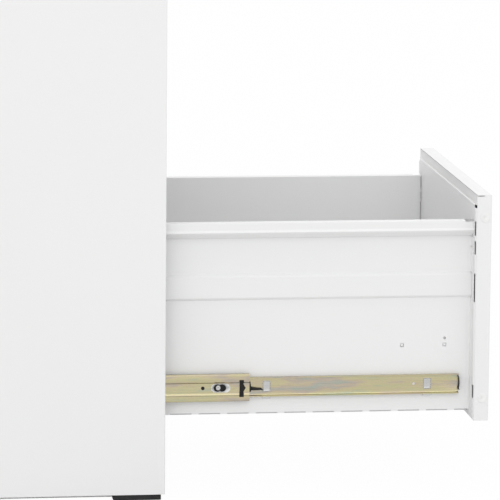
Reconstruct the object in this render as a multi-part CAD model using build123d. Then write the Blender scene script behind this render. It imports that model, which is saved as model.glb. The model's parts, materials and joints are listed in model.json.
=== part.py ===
# Three-drawer steel filing cabinet with ball-bearing telescopic slides, lower drawer drawn out.
# Frame: +Z up, X across the width, the drawers open towards -Y. Origin: on the floor, at the
# centre of the box round the cabinet and its open drawer. Millimetres.
from build123d import *
import os

# Driving dimensions of the cabinet
CABINET_WIDTH = 460.0
CABINET_DEPTH = 620.0
CABINET_HEIGHT = 1025.0
FOOT_HEIGHT = 8.0
CASE_SHEET = 1.0
CASE_BEND = 1.5
DRAWERS = ("lower", "centre", "upper")

# Driving dimensions of the drawer fronts
FRONT_WIDTH = 440.0
FRONT_HEIGHT = 300.0
FRONT_GAP = 3.0
FRONT_SHEET = 1.0
FRONT_EDGE_RADIUS = 1.2
SKIN_DEPTH = 19.5
SKIN_LIP = 12.9
LINER_STEP = 2.0
LINER_PLAY = 0.1
LINER_FRONT = 6.0
FIRST_FRONT_Z = 96.5

# Driving dimensions of the drawer bodies, heights from the bottom edge of the front
WALL_INNER_X = 195.5
DRAWER_SHEET = 0.8
BODY_BOTTOM = 10.0
BODY_TOP = 265.0
BODY_LENGTH = 560.0
RIB_LEVELS = (161.5, 164.8, 192.2, 195.0)
RIB_DEPTH = 4.0
RIM_WIDTH = 13.5
RIM_BEAD = 2.0
RIM_BEAD_DROP = 12.6
RIM_FOOT_DROP = 21.8
RIM_FOOT_GAP = 1.8
TAB_PITCH = 37.7
TAB_NOTCH = 28.5
TAB_HEIGHT = 1.5
FIRST_NOTCH = -8.6
FLOOR_RISE = 2.2
FLOOR_RIB_X = 188.0
FLOOR_BACK_TOP = 235.0
FLOOR_BACK_HEM = 8.0

# Holes near the front of a drawer wall, measured back from its front end
SQUARE_HOLE_BACKS = (34.3, 90.9)
SQUARE_HOLE_Z = 97.9
SQUARE_HOLE_HALF = 2.5
ROUND_HOLE_Z = 106.8
ROUND_HOLE_RADIUS = 2.0

# Driving dimensions of the slides
SLIDE_LENGTH = 550.0
SLIDE_SETBACK = 37.0
SLIDE_Z = 46.5
SLIDE_SHEET = 1.2
OUTER_TRAVEL = 272.0
INNER_TRAVEL = 278.0
OUTER_HALF = 22.75
OUTER_LIP = (199.8, 20.9)
OUTER_BEND_X = 200.8
MIDDLE_HALF = 18.0
MIDDLE_WEB_X = 206.2
MIDDLE_EDGE_X = 199.9
MIDDLE_CORNER = 1.4
MIDDLE_HOLE_BACK = 61.4
MIDDLE_HOLE_RADIUS = 2.2
GROOVE_HALF = 7.0
GROOVE_DEPTH = 1.0
INNER_HALF = 13.0
INNER_EDGE_X = 202.6
INNER_HOLE_BACK = 59.2
INNER_HOLE_RADIUS = 2.0
WINDOW_BACKS = (36.2, 249.2)
WINDOW_LENGTH = 10.5
WINDOW_HALF = 7.4

# How far the lower drawer and its intermediate members are drawn out
DRAWN_OUT = 428.0
OPEN_DRAWER = "lower"

# Levels and planes that follow from them
HALF_WIDTH = CABINET_WIDTH / 2
FRONT_Y = DRAWN_OUT - (CABINET_DEPTH + DRAWN_OUT) / 2
BACK_Y = FRONT_Y + CABINET_DEPTH
FRONT_PITCH = FRONT_HEIGHT + FRONT_GAP
FRONT_DEPTH = SKIN_DEPTH + LINER_STEP
PLINTH_TOP = FIRST_FRONT_Z - FRONT_GAP
HEADER_BOTTOM = FIRST_FRONT_Z + len(DRAWERS) * FRONT_PITCH
TOP_SHEET_Z = CABINET_HEIGHT - CASE_SHEET
WALL_OUTER_X = WALL_INNER_X + DRAWER_SHEET
SLIDE_FRONT_Y = FRONT_Y + SLIDE_SETBACK
SLIDE_BACK_Y = SLIDE_FRONT_Y + SLIDE_LENGTH

# Carcass details
FRONT_LIP_X = 221.5
FRONT_LIP_DEPTH = 18.0
HEADER_HALF = 221.0
REAR_FLANGE = 18.0
CASE_FLANGE = 20.0
PANEL_PLAY = 0.6
BACK_TURN = 15.0
TRAY_FRONT_TOP = 30.0
TRAY_BACK_TOP = 34.0
TOP_REAR_DROP = 14.0
HEADER_DEPTH = 40.0
PLINTH_DEPTH = 22.0
FLANGE_START_Y = FRONT_Y + 26.0
FLANGE_END_Y = BACK_Y - 4.0
BASE_TOP = FOOT_HEIGHT + 2 * CASE_SHEET
POST_INNER_X = 217.0
POST_DEPTH = 36.0
POST_SHEET = 1.2
POST_SLOT_RISES = (40.0, 60.0)
POST_SLOT_SIZE = (6.0, 12.0)
FRONT_POST_Y = FRONT_Y + 24.0
REAR_POST_Y = BACK_Y - 54.0
BRACKET_INNER_X = 209.0
BRACKET_HALF_HEIGHT = 25.0
BRACKET_OVERLAP = 2.0

# Feet
FOOT_LENGTH = 62.5
FOOT_WIDTH = 44.0
FOOT_INSET = 4.6
FOOT_SIDE_INSET = 4.0
FOOT_CORNER = 6.0
FOOT_CHAMFER = 1.5
FOOT_PEG = 8.0
FOOT_HOLE = 8.3

# Lock: barrel in the header, cam, and a bar in the right-hand post with one hook a drawer
LOCK_X = 190.0
LOCK_Z = CABINET_HEIGHT - 10.0
BARREL_RADIUS = 7.0
BARREL_LENGTH = 22.0
ROSETTE_RADIUS = 8.6
ROSETTE_HEIGHT = 1.5
PLUG_RADIUS = 4.5
PLUG_PLAY = 0.06
PLUG_PROUD = 1.2
KEY_SLOT = (1.4, 6.4, 8.0)
CAM_ARM = 14.0
CAM_WIDTH = 9.0
CAM_PIN_RADIUS = 2.5
CAM_PIN_LENGTH = 5.5
CAM_PLATE = 2.0
CAM_Y = FRONT_Y + 26.0
BAR_PLATE = 2.5
BAR_WIDTH = 20.0
BAR_X = POST_INNER_X + POST_SHEET + 0.1
BAR_Y = FRONT_Y + 30.0
BAR_BOTTOM = 60.0
BAR_TOP = LOCK_Z + 7.0
BAR_TAB_BOTTOM = LOCK_Z - 9.0
BAR_TAB_OVERHANG = 6.0
BAR_PIN_PLAY = 3.2
HOOK_HEIGHT = 12.0
HOOK_REACH_X = 205.0
CATCH_Z = 128.5
CATCH_HEIGHT = 10.0
CATCH_REACH_X = 213.5
CATCH_GAP = 2.0
CATCH_PLATE = 1.6

# Domed plugs in the flanges of the fronts
PLUG_CAP_RADIUS = 6.25
PLUG_CAP_HEIGHT = 1.0
PLUG_CAP_BACK = 9.0
PLUG_CAP_EDGE = 30.0
PLUG_CAP_TAPER = 55

# Recessed pull
PULL_DROP = 62.0
PULL_WIDTH = 150.0
PULL_HEIGHT = 36.0
PULL_DEPTH = 15.0
PULL_WALL = 1.2
PULL_CORNER = 5.0
PULL_BEND = 4.0
PULL_UNDERCUT = 6.0

# Ball rows: radius and height above the slide's centre line
OUTER_BALL_RADIUS = 1.75
OUTER_BALL_Z = 19.8
OUTER_BALL_X = 203.75
INNER_BALL_RADIUS = 1.85
INNER_BALL_Z = 14.9
INNER_BALL_X = 201.2
BALLS_PER_ROW = 2
BALL_POCKET_PLAY = 0.1
CAGE_SHEET = 0.5
OUTER_CAGE_LENGTH = 260.0
OUTER_CAGE_SETBACK = 142.0
INNER_CAGE_LENGTH = 255.0
INNER_CAGE_SETBACK = 145.0

# Rubber stop and bumper of an intermediate member, measured back from its front end
STOP_BACK = 7.6
STOP_LENGTH = 5.5
STOP_HALF = 11.5
STOP_NOSE = 3.1
STOP_NOSE_HALF = 1.5
STOP_X = 204.2
STOP_THICKNESS = 3.2
STOP_CHAMFER = 0.6
RECESS_BACK = 37.8
RECESS_LENGTH = 25.6
RECESS_HEIGHT = 12.0
BUMPER_LENGTH = 15.4
BUMPER_HEIGHT = 9.3
BUMPER_BACK = 39.0
BUMPER_CORNER = 3.0
BUMPER_THICKNESS = 2.4

# Release levers, measured back from the front end of the inner member
LEVER_PIVOT = 287.0
LEVER_PIN_RADIUS = 1.5
LEVER_BORE_RADIUS = 1.6
LEVER_THICKNESS = 3.4


def folded(points, sheet, side=Side.LEFT, bend=None):
    """Cross-section of a folded sheet: its outer skin runs through the points."""
    skin = FilletPolyline(*points, radius=bend) if bend else Polyline(*points)
    return make_face(offset(skin, sheet, side=side, kind=Kind.INTERSECTION))


def along_y(face, front, back):
    """Solid from an XZ cross-section, from the plane Y = front to Y = back."""
    return extrude(Plane.XZ.offset(-back) * face, back - front)


def along_x(face, left, right):
    """Solid from a YZ cross-section, from the plane X = left to X = right."""
    return extrude(Plane.YZ.offset(left) * face, right - left)


def block(x_range, y_range, z_range):
    """Rectangular solid between two values on each axis."""
    low = (x_range[0], y_range[0], z_range[0])
    sizes = (x_range[1] - x_range[0], y_range[1] - y_range[0], z_range[1] - z_range[0])
    return Pos(*low) * Box(*sizes, align=(Align.MIN, Align.MIN, Align.MIN))


def hole_x(y, z, radius):
    """Eight-sided cutter along X through the right-hand side, for small holes."""
    return along_x(Pos(y, z) * RegularPolygon(radius, 8), 180, 260)


def window_x(y_range, z_range):
    """Rectangular cutter along X through the right-hand side."""
    return block((180, 260), y_range, z_range)


def left_copy(part):
    """Mirror image of a right-hand part."""
    return mirror(part, about=Plane.YZ)


def pair(part):
    """A right-hand part and its mirror image, as two separate solids."""
    return Compound(children=[part, left_copy(part)])


def save(name, part):
    """Write one sub-part to its own file."""
    export_step(part, f"parts/{name}.step")


def foot_centres():
    """X and Y of the four feet."""
    x = HALF_WIDTH - FOOT_SIDE_INSET - FOOT_WIDTH / 2
    front = FRONT_Y + FOOT_INSET + FOOT_LENGTH / 2
    back = BACK_Y - FOOT_INSET - FOOT_LENGTH / 2
    return [(x, front), (-x, front), (x, back), (-x, back)]


def foot_holes(part):
    """Cut the holes that the pegs of the feet stand in."""
    for x, y in foot_centres():
        part -= Pos(x, y, FOOT_HEIGHT) * Box(FOOT_HOLE, FOOT_HOLE, 5 * CASE_SHEET)
    return part


def side_panel():
    """Right-hand side: one sheet with a lip round the front opening and a rear flange."""
    skin = [
        (FRONT_LIP_X, FRONT_Y + FRONT_LIP_DEPTH),
        (FRONT_LIP_X, FRONT_Y),
        (HALF_WIDTH, FRONT_Y),
        (HALF_WIDTH, BACK_Y),
        (HALF_WIDTH - REAR_FLANGE, BACK_Y),
    ]
    wall = folded(skin, CASE_SHEET, bend=CASE_BEND)
    panel = extrude(Pos(0, 0, FOOT_HEIGHT) * wall, TOP_SHEET_Z - FOOT_HEIGHT)
    flange_x = (HALF_WIDTH - CASE_FLANGE, HALF_WIDTH - CASE_SHEET / 2)
    flange_y = (FLANGE_START_Y, FLANGE_END_Y)
    panel += block(flange_x, flange_y, (FOOT_HEIGHT, FOOT_HEIGHT + CASE_SHEET))
    panel += block(flange_x, flange_y, (TOP_SHEET_Z - CASE_SHEET, TOP_SHEET_Z))
    return foot_holes(panel)


def back_panel():
    """Back: a sheet between the rear flanges, with its sides turned forwards."""
    half = HALF_WIDTH - CASE_SHEET - PANEL_PLAY
    y = BACK_Y - CASE_SHEET
    skin = [(half, y - BACK_TURN), (half, y), (-half, y), (-half, y - BACK_TURN)]
    wall = folded(skin, CASE_SHEET)
    return extrude(Pos(0, 0, BASE_TOP) * wall, TOP_SHEET_Z - CASE_SHEET - BASE_TOP)


def top_panel():
    """Top sheet, folded down into the header over the drawers and into a rear flange."""
    header = [
        (FRONT_Y + FRONT_LIP_DEPTH, HEADER_BOTTOM),
        (FRONT_Y, HEADER_BOTTOM),
        (FRONT_Y, CABINET_HEIGHT),
        (FRONT_Y + HEADER_DEPTH, CABINET_HEIGHT),
    ]
    fold = folded(header, CASE_SHEET, Side.RIGHT, CASE_BEND)
    top = along_x(fold, -HEADER_HALF, HEADER_HALF)
    sheet_z = (TOP_SHEET_Z, CABINET_HEIGHT)
    top += block((-HALF_WIDTH, HALF_WIDTH), (FRONT_Y + CASE_BEND, BACK_Y), sheet_z)
    for x_range in ((-HALF_WIDTH, -HEADER_HALF), (HEADER_HALF, HALF_WIDTH)):
        top += block(x_range, (FRONT_Y, FRONT_Y + 2 * CASE_BEND), sheet_z)
    rear_half = HALF_WIDTH - REAR_FLANGE - 1
    rear_z = (TOP_SHEET_Z - TOP_REAR_DROP, TOP_SHEET_Z)
    top += block((-rear_half, rear_half), (BACK_Y - CASE_SHEET, BACK_Y), rear_z)
    lock_hole = Pos(LOCK_X, FRONT_Y, LOCK_Z) * Rot(90, 0, 0) * Cylinder(BARREL_RADIUS + 0.1, 6)
    return top - lock_hole


def base_panel():
    """Bottom tray, turned up behind the plinth and in front of the back."""
    front = FRONT_Y + FRONT_LIP_DEPTH
    back = BACK_Y - 2 * CASE_SHEET
    tray_z = FOOT_HEIGHT + CASE_SHEET
    skin = [(front, TRAY_FRONT_TOP), (front, tray_z), (back, tray_z), (back, TRAY_BACK_TOP)]
    half = HALF_WIDTH - 3 * CASE_SHEET
    tray = along_x(folded(skin, CASE_SHEET), -half, half)
    return foot_holes(tray)


def front_plinth():
    """Plinth under the lower drawer, a channel open to the back."""
    skin = [
        (FRONT_Y + FRONT_LIP_DEPTH + 1, PLINTH_TOP),
        (FRONT_Y, PLINTH_TOP),
        (FRONT_Y, FOOT_HEIGHT),
        (FRONT_Y + PLINTH_DEPTH, FOOT_HEIGHT),
    ]
    return along_x(folded(skin, CASE_SHEET, bend=CASE_BEND), -HEADER_HALF, HEADER_HALF)


def slide_levels():
    """Height of each drawer's slides."""
    return [FIRST_FRONT_Z + k * FRONT_PITCH + SLIDE_Z for k in range(len(DRAWERS))]


def post(front_y):
    """Right-hand upright, a channel open to the side panel, slotted for the slide brackets."""
    outer_x = HALF_WIDTH - CASE_SHEET
    back_y = front_y + POST_DEPTH
    skin = [(outer_x, front_y), (POST_INNER_X, front_y), (POST_INNER_X, back_y), (outer_x, back_y)]
    channel = folded(skin, POST_SHEET, Side.RIGHT)
    upright = extrude(Pos(0, 0, BASE_TOP) * channel, TOP_SHEET_Z - CASE_SHEET - BASE_TOP)
    slot_y = front_y + POST_DEPTH / 2 + 2
    length, height = POST_SLOT_SIZE
    for level in slide_levels():
        for rise in POST_SLOT_RISES:
            z = level + rise
            upright -= window_x((slot_y, slot_y + length), (z - height / 2, z + height / 2))
    return upright


def front_post_right():
    """Front right-hand upright, with the windows that the lock bar's hooks pass through."""
    upright = post(FRONT_POST_Y)
    window_y = (BAR_Y - 1, BAR_Y + BAR_PLATE + 1)
    for hook_bottom in hook_levels():
        window_z = (hook_bottom - CAM_ARM - 2, hook_bottom + HOOK_HEIGHT + 2)
        upright -= block((POST_INNER_X - 2, POST_INNER_X + 4), window_y, window_z)
    top_window = (LOCK_Z - CAM_ARM - 12, CABINET_HEIGHT)
    return upright - block((POST_INNER_X - 2, POST_INNER_X + 4), window_y, top_window)


def slide_bracket(level):
    """Right-hand channel from post to post that carries one outer slide member."""
    skin = [
        (POST_INNER_X, level + BRACKET_HALF_HEIGHT),
        (BRACKET_INNER_X, level + BRACKET_HALF_HEIGHT),
        (BRACKET_INNER_X, level - BRACKET_HALF_HEIGHT),
        (POST_INNER_X, level - BRACKET_HALF_HEIGHT),
    ]
    channel = folded(skin, POST_SHEET)
    back = REAR_POST_Y + POST_DEPTH - BRACKET_OVERLAP
    return along_y(channel, FRONT_POST_Y + BRACKET_OVERLAP, back)


def slide_brackets():
    """All six brackets."""
    children = []
    for level in slide_levels():
        bracket = slide_bracket(level)
        children += [bracket, left_copy(bracket)]
    return Compound(children=children)


def feet():
    """Four moulded feet, each held by a peg in the base."""
    children = []
    for x, y in foot_centres():
        pad = Pos(x, y, FOOT_HEIGHT / 2) * Box(FOOT_WIDTH, FOOT_LENGTH, FOOT_HEIGHT)
        pad = chamfer(pad.edges().filter_by(Axis.Z), FOOT_CORNER)
        pad = chamfer(pad.faces().sort_by(Axis.Z)[0].edges(), FOOT_CHAMFER)
        peg = Pos(x, y, FOOT_HEIGHT) * Box(FOOT_PEG, FOOT_PEG, 2 * (BASE_TOP - FOOT_HEIGHT) + 4)
        children.append(pad + peg)
    return Compound(children=children)


def lock_barrel():
    """Fixed sleeve of the lock with its rosette."""
    rosette = extrude(RegularPolygon(ROSETTE_RADIUS, 24), ROSETTE_HEIGHT)
    sleeve = extrude(RegularPolygon(BARREL_RADIUS, 8), -BARREL_LENGTH)
    bore = Cylinder(PLUG_RADIUS + PLUG_PLAY, 4 * BARREL_LENGTH)
    barrel = rosette + sleeve - bore
    return Pos(LOCK_X, FRONT_Y, LOCK_Z) * Rot(90, 0, 0) * barrel


def lock_plug():
    """Turning plug with its key slot."""
    length = CAM_Y - FRONT_Y + PLUG_PROUD
    plug = Pos(0, 0, PLUG_PROUD - length / 2) * Cylinder(PLUG_RADIUS, length)
    plug -= Box(*KEY_SLOT)
    return Pos(LOCK_X, FRONT_Y, LOCK_Z) * Rot(90, 0, 0) * plug


def lock_cam():
    """Cam plate on the plug's end, with the pin that drives the bar."""
    arm = chamfer(Rectangle(CAM_ARM + CAM_WIDTH, CAM_WIDTH).vertices(), CAM_WIDTH / 4)
    plate = Pos(CAM_ARM / 2, 0, 0) * extrude(arm, CAM_PLATE)
    pin = Pos(CAM_ARM, 0, 0) * extrude(RegularPolygon(CAM_PIN_RADIUS, 8), -CAM_PIN_LENGTH)
    return Pos(LOCK_X, CAM_Y + CAM_PLATE, LOCK_Z) * Rot(90, 0, 0) * (plate + pin)


def hook_levels():
    """Underside of each hook while the lock is open."""
    return [FIRST_FRONT_Z + k * FRONT_PITCH + CATCH_Z + CATCH_GAP for k in range(len(DRAWERS))]


def lock_bar():
    """Bar behind the right-hand post's web: one hook a drawer and a slotted tab for the cam."""
    tab_y = (BAR_Y, BAR_Y + BAR_PLATE)
    bar_x = (BAR_X, BAR_X + BAR_PLATE)
    bar = block(bar_x, (BAR_Y, BAR_Y + BAR_WIDTH), (BAR_BOTTOM, BAR_TOP))
    for z in hook_levels():
        bar += block((HOOK_REACH_X, BAR_X + BAR_PLATE), tab_y, (z, z + HOOK_HEIGHT))
    tab = block((LOCK_X - BAR_TAB_OVERHANG, BAR_X + BAR_PLATE), tab_y, (BAR_TAB_BOTTOM, BAR_TOP))
    slot_x_range = (LOCK_X - CAM_PIN_RADIUS - 0.5, LOCK_X + CAM_ARM + CAM_PIN_RADIUS + 0.5)
    slot_z_range = (LOCK_Z - CAM_PIN_RADIUS - BAR_PIN_PLAY, LOCK_Z + CAM_PIN_RADIUS + 0.2)
    slot = block(slot_x_range, (BAR_Y - 1, BAR_Y + BAR_PLATE + 1), slot_z_range)
    return bar + (tab - slot)


def wall_profile():
    """Section of the right-hand drawer wall: stiffening rib and hollow outward rim."""
    inner = WALL_INNER_X
    top = BODY_TOP
    rim = inner + RIM_WIDTH
    rib = inner + RIB_DEPTH
    rib_start, rib_low, rib_high, rib_end = RIB_LEVELS
    bead_z = top - RIM_BEAD_DROP
    skin = [
        (inner, BODY_BOTTOM),
        (inner, rib_start),
        (rib, rib_low),
        (rib, rib_high),
        (inner, rib_end),
        (inner, top),
        (rim, top),
        (rim, bead_z + RIM_BEAD),
        (rim + RIM_BEAD, bead_z),
        (rim, bead_z - RIM_BEAD),
        (inner + RIM_FOOT_GAP, top - RIM_FOOT_DROP),
    ]
    return folded(skin, DRAWER_SHEET, Side.RIGHT)


def side_wall(with_catch):
    """Right-hand drawer side, its bottom edge notched into a row of tabs."""
    front = FRONT_Y + FRONT_DEPTH
    wall = along_y(wall_profile(), front, front + BODY_LENGTH)
    notch_x = (WALL_INNER_X - 1, WALL_OUTER_X + 1)
    y = front + FIRST_NOTCH
    while y + TAB_NOTCH < front + BODY_LENGTH:
        wall -= block(notch_x, (y, y + TAB_NOTCH), (BODY_BOTTOM - 1, BODY_BOTTOM + TAB_HEIGHT))
        y += TAB_PITCH
    half = SQUARE_HOLE_HALF
    for back in SQUARE_HOLE_BACKS:
        hole_y = front + back
        wall -= window_x((hole_y - half, hole_y + half), (SQUARE_HOLE_Z - half, SQUARE_HOLE_Z + half))
    wall -= hole_x(front + SQUARE_HOLE_BACKS[0], ROUND_HOLE_Z, ROUND_HOLE_RADIUS)
    if with_catch:
        catch_y = BAR_Y + BAR_PLATE + CATCH_GAP
        catch_x = (WALL_INNER_X + DRAWER_SHEET / 4, CATCH_REACH_X)
        wall += block(catch_x, (catch_y, catch_y + CATCH_PLATE), (CATCH_Z - CATCH_HEIGHT, CATCH_Z))
    return wall


def drawer_floor():
    """Drawer bottom with its back folded up, and a stiffening rib set back from each wall."""
    front = FRONT_Y + FRONT_DEPTH
    back = front + BODY_LENGTH
    half = WALL_INNER_X
    floor_z = BODY_BOTTOM + FLOOR_RISE
    under = floor_z - DRAWER_SHEET
    floor = block((-half, half), (front, back), (under, floor_z))
    rib = block((FLOOR_RIB_X - DRAWER_SHEET, FLOOR_RIB_X), (front, back), (BODY_BOTTOM, under))
    floor += [rib, left_copy(rib)]
    hem_y = back - FLOOR_BACK_HEM
    rise = [(hem_y, FLOOR_BACK_TOP), (back, FLOOR_BACK_TOP), (back, under), (back - 20, under)]
    rear = along_x(folded(rise, DRAWER_SHEET, Side.RIGHT), -half, half)
    return floor + rear


def front_skin():
    """Outer pan of a drawer front, open at the back, with the mouth of the pull."""
    half = FRONT_WIDTH / 2
    pan = block((-half, half), (FRONT_Y, FRONT_Y + SKIN_DEPTH), (0, FRONT_HEIGHT))
    pan = fillet(pan.faces().sort_by(Axis.Y)[0].edges(), FRONT_EDGE_RADIUS)
    sheet = FRONT_SHEET
    inside_x = (-half + sheet, half - sheet)
    pan -= block(inside_x, (FRONT_Y + sheet, FRONT_Y + SKIN_DEPTH + 1), (sheet, FRONT_HEIGHT - sheet))
    flange_y = (FRONT_Y + SKIN_DEPTH - sheet, FRONT_Y + SKIN_DEPTH)
    pan += block(inside_x, flange_y, (FRONT_HEIGHT - SKIN_LIP, FRONT_HEIGHT - sheet / 2))
    mouth = extrude(Plane.XZ.offset(-FRONT_Y - 5) * pull_mouth(), 10)
    return pan - mouth


def pull_mouth():
    """Outline of the pull's mouth on the front."""
    return Pos(0, FRONT_HEIGHT - PULL_DROP) * RectangleRounded(PULL_WIDTH, PULL_HEIGHT, PULL_CORNER)


def front_liner():
    """Inner pan of a drawer front, set into the skin from behind and standing proud of it."""
    half = FRONT_WIDTH / 2 - FRONT_SHEET - LINER_PLAY
    top = FRONT_HEIGHT - SKIN_LIP - LINER_PLAY
    bottom = FRONT_SHEET + LINER_PLAY
    back = FRONT_Y + FRONT_DEPTH
    pan = block((-half, half), (FRONT_Y + LINER_FRONT, back), (bottom, top))
    inner = DRAWER_SHEET
    pan -= block((-half + inner, half - inner), (FRONT_Y, back - inner), (bottom + inner, top - inner))
    return pan


def pull_cup():
    """Moulded cup behind the pull's mouth, undercut at the top for the fingertips."""
    start = FRONT_Y + FRONT_SHEET
    z = FRONT_HEIGHT - PULL_DROP
    half_height = PULL_HEIGHT / 2
    deep = start + PULL_DEPTH
    outline = [
        (start, z - half_height - PULL_WALL),
        (start + 8, z - half_height + 1.5),
        (deep, z - half_height + 10),
        (deep, z + half_height - 2),
        (start + 9, z + half_height + PULL_UNDERCUT),
        (start, z + half_height + PULL_UNDERCUT),
    ]
    outer = Polyline(*outline, close=True)
    shell = fillet(make_face(outer).vertices().sort_by(Axis.X)[2:], PULL_BEND)
    hollow = offset(shell, -PULL_WALL)
    cup = along_x(shell, -PULL_WIDTH / 2 - PULL_WALL, PULL_WIDTH / 2 + PULL_WALL)
    cup -= along_x(hollow, -PULL_WIDTH / 2, PULL_WIDTH / 2)
    mouth_y = (start - 1, start + PULL_WALL + 0.5)
    cup -= block((-PULL_WIDTH / 2, PULL_WIDTH / 2), mouth_y, (z - half_height, z + half_height))
    return cup


def plug_levels():
    """Heights of the plugs in the flanges of a drawer front."""
    return [PLUG_CAP_EDGE, FRONT_HEIGHT - PLUG_CAP_EDGE]


def front_plugs():
    """Four domed plugs that close the screw holes in the flanges of a front."""
    outline = RegularPolygon(PLUG_CAP_RADIUS, 12)
    plug = Rot(0, 90, 0) * extrude(outline, PLUG_CAP_HEIGHT, taper=PLUG_CAP_TAPER)
    children = []
    for z in plug_levels():
        placed = Pos(FRONT_WIDTH / 2, FRONT_Y + PLUG_CAP_BACK, z) * plug
        children += [placed, left_copy(placed)]
    return Compound(children=children)


def slide_outer():
    """Right-hand outer member, fixed to its bracket, with lips that hold the outer balls."""
    x = BRACKET_INNER_X
    top = OUTER_HALF
    bend = OUTER_BEND_X
    lip_x, lip_z = OUTER_LIP
    skin = [(lip_x, lip_z), (bend, top), (x, top), (x, -top), (bend, -top), (lip_x, -lip_z)]
    section = folded(skin, SLIDE_SHEET, Side.RIGHT)
    return along_y(section, SLIDE_FRONT_Y, SLIDE_BACK_Y)


def slide_intermediate():
    """Right-hand intermediate member: grooved web, stop window, bumper window and hole."""
    x = MIDDLE_WEB_X
    top = MIDDLE_HALF
    groove = GROOVE_HALF
    depth = GROOVE_DEPTH
    corner = MIDDLE_CORNER
    skin = [
        (MIDDLE_EDGE_X, top),
        (x - corner, top),
        (x, top - corner),
        (x, groove + depth),
        (x - depth, groove),
        (x - depth, -groove),
        (x, -groove - depth),
        (x, corner - top),
        (x - corner, -top),
        (MIDDLE_EDGE_X, -top),
    ]
    section = folded(skin, SLIDE_SHEET, Side.RIGHT)
    member = along_y(section, SLIDE_FRONT_Y, SLIDE_BACK_Y)
    y = SLIDE_FRONT_Y
    member -= window_x((y + STOP_BACK, y + STOP_BACK + STOP_LENGTH), (-STOP_HALF, STOP_HALF))
    recess = Pos(y + RECESS_BACK, 0) * SlotOverall(RECESS_LENGTH, RECESS_HEIGHT)
    member -= along_x(recess, 180, 260)
    return member - hole_x(y + MIDDLE_HOLE_BACK, 0, MIDDLE_HOLE_RADIUS)


def slide_stops():
    """Right-hand stop clip and bumper of an intermediate member, two separate mouldings."""
    x = STOP_X
    stop_y = SLIDE_FRONT_Y + STOP_BACK
    clip = block((x, x + STOP_THICKNESS), (stop_y, stop_y + STOP_LENGTH), (-STOP_HALF, STOP_HALF))
    clip = chamfer(clip.faces().sort_by(Axis.X)[-1].edges(), STOP_CHAMFER)
    nose_x = (x + STOP_THICKNESS / 3, x + STOP_THICKNESS - STOP_CHAMFER)
    clip += block(nose_x, (stop_y - STOP_NOSE, stop_y + 1), (-STOP_NOSE_HALF, STOP_NOSE_HALF))
    oval = Pos(SLIDE_FRONT_Y + BUMPER_BACK, 0) * Rectangle(BUMPER_LENGTH, BUMPER_HEIGHT)
    oval = chamfer(oval.vertices(), BUMPER_CORNER)
    bumper = along_x(oval, x, x + BUMPER_THICKNESS)
    return [clip, bumper]


def slide_inner():
    """Right-hand inner member, screwed to the drawer wall, with the lever's pin."""
    x = WALL_OUTER_X
    top = INNER_HALF
    skin = [(INNER_EDGE_X, top), (x, top), (x, -top), (INNER_EDGE_X, -top)]
    section = folded(skin, SLIDE_SHEET)
    member = along_y(section, SLIDE_FRONT_Y, SLIDE_BACK_Y)
    y = SLIDE_FRONT_Y
    for back in WINDOW_BACKS:
        member -= window_x((y + back, y + back + WINDOW_LENGTH), (-WINDOW_HALF, WINDOW_HALF))
    member -= hole_x(y + INNER_HOLE_BACK, 0, INNER_HOLE_RADIUS)
    pin_length = LEVER_THICKNESS + SLIDE_SHEET + 0.4
    pin_x = x + pin_length / 2
    pin = Pos(pin_x, y + LEVER_PIVOT, 0) * Rot(0, 90, 0) * Cylinder(LEVER_PIN_RADIUS, pin_length)
    return member + pin


def ball_rows(cage_front, length, x, row_z):
    """Centres of a cage's balls, evenly spaced along its two rows."""
    pitch = length / BALLS_PER_ROW
    centres = []
    for k in range(BALLS_PER_ROW):
        y = cage_front + (k + 0.5) * pitch
        centres += [(x, y, row_z), (x, y, -row_z)]
    return centres


def bearing_ball(radius):
    """Bearing ball in few facets: a six-sided barrel as tall as the ball."""
    half = extrude(RegularPolygon(radius, 6), radius, taper=26)
    return half + mirror(half, about=Plane.XY)


def cage(cage_front, length, web_x, edge_x, ball_x, ball_z, ball_radius):
    """Right-hand ball cage: a thin channel with pockets, and the balls in them."""
    top = ball_z + CAGE_SHEET / 2
    skin = [(edge_x, top), (web_x, top), (web_x, -top), (edge_x, -top)]
    section = folded(skin, CAGE_SHEET, Side.RIGHT)
    channel = along_y(section, cage_front, cage_front + length)
    balls = []
    for x, y, z in ball_rows(cage_front, length, ball_x, ball_z):
        pocket = 2 * (ball_radius + BALL_POCKET_PLAY)
        channel -= Pos(x, y, z) * Box(pocket, pocket, 2)
        balls.append(Pos(x, y, z) * bearing_ball(ball_radius))
    return [channel] + balls


def both_sides(solids):
    """Right-hand solids and their mirror images."""
    return Compound(children=solids + [left_copy(solid) for solid in solids])


def outer_cages():
    """Cages between the outer and intermediate members."""
    front = SLIDE_FRONT_Y + OUTER_CAGE_SETBACK
    solids = cage(front, OUTER_CAGE_LENGTH, 207.3, 201.2, OUTER_BALL_X, OUTER_BALL_Z, OUTER_BALL_RADIUS)
    return both_sides(solids)


def inner_cages():
    """Cages between the intermediate and inner members."""
    front = SLIDE_FRONT_Y + INNER_CAGE_SETBACK
    solids = cage(front, INNER_CAGE_LENGTH, 203.7, 198.6, INNER_BALL_X, INNER_BALL_Z, INNER_BALL_RADIUS)
    return both_sides(solids)


def release_lever():
    """Right-hand release lever on its pin, with the finger tail forwards and the latch behind."""
    outline = [
        (-27.1, -2.2),
        (-25.5, -4.2),
        (-17, -2.6),
        (-4, -3.6),
        (5, -4.2),
        (30, -3.0),
        (34, 1.5),
        (31, 7.0),
        (26, 6.0),
        (24, 1.5),
        (5, 4.2),
        (-4, 3.6),
        (-17, 2.4),
    ]
    plate = make_face(Polyline(*outline, close=True))
    x = WALL_OUTER_X + SLIDE_SHEET + 0.2
    lever = along_x(plate, x, x + LEVER_THICKNESS)
    lever -= along_x(RegularPolygon(LEVER_BORE_RADIUS, 12), x - 1, x + LEVER_THICKNESS + 1)
    return Pos(0, SLIDE_FRONT_Y + LEVER_PIVOT, 0) * lever


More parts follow.
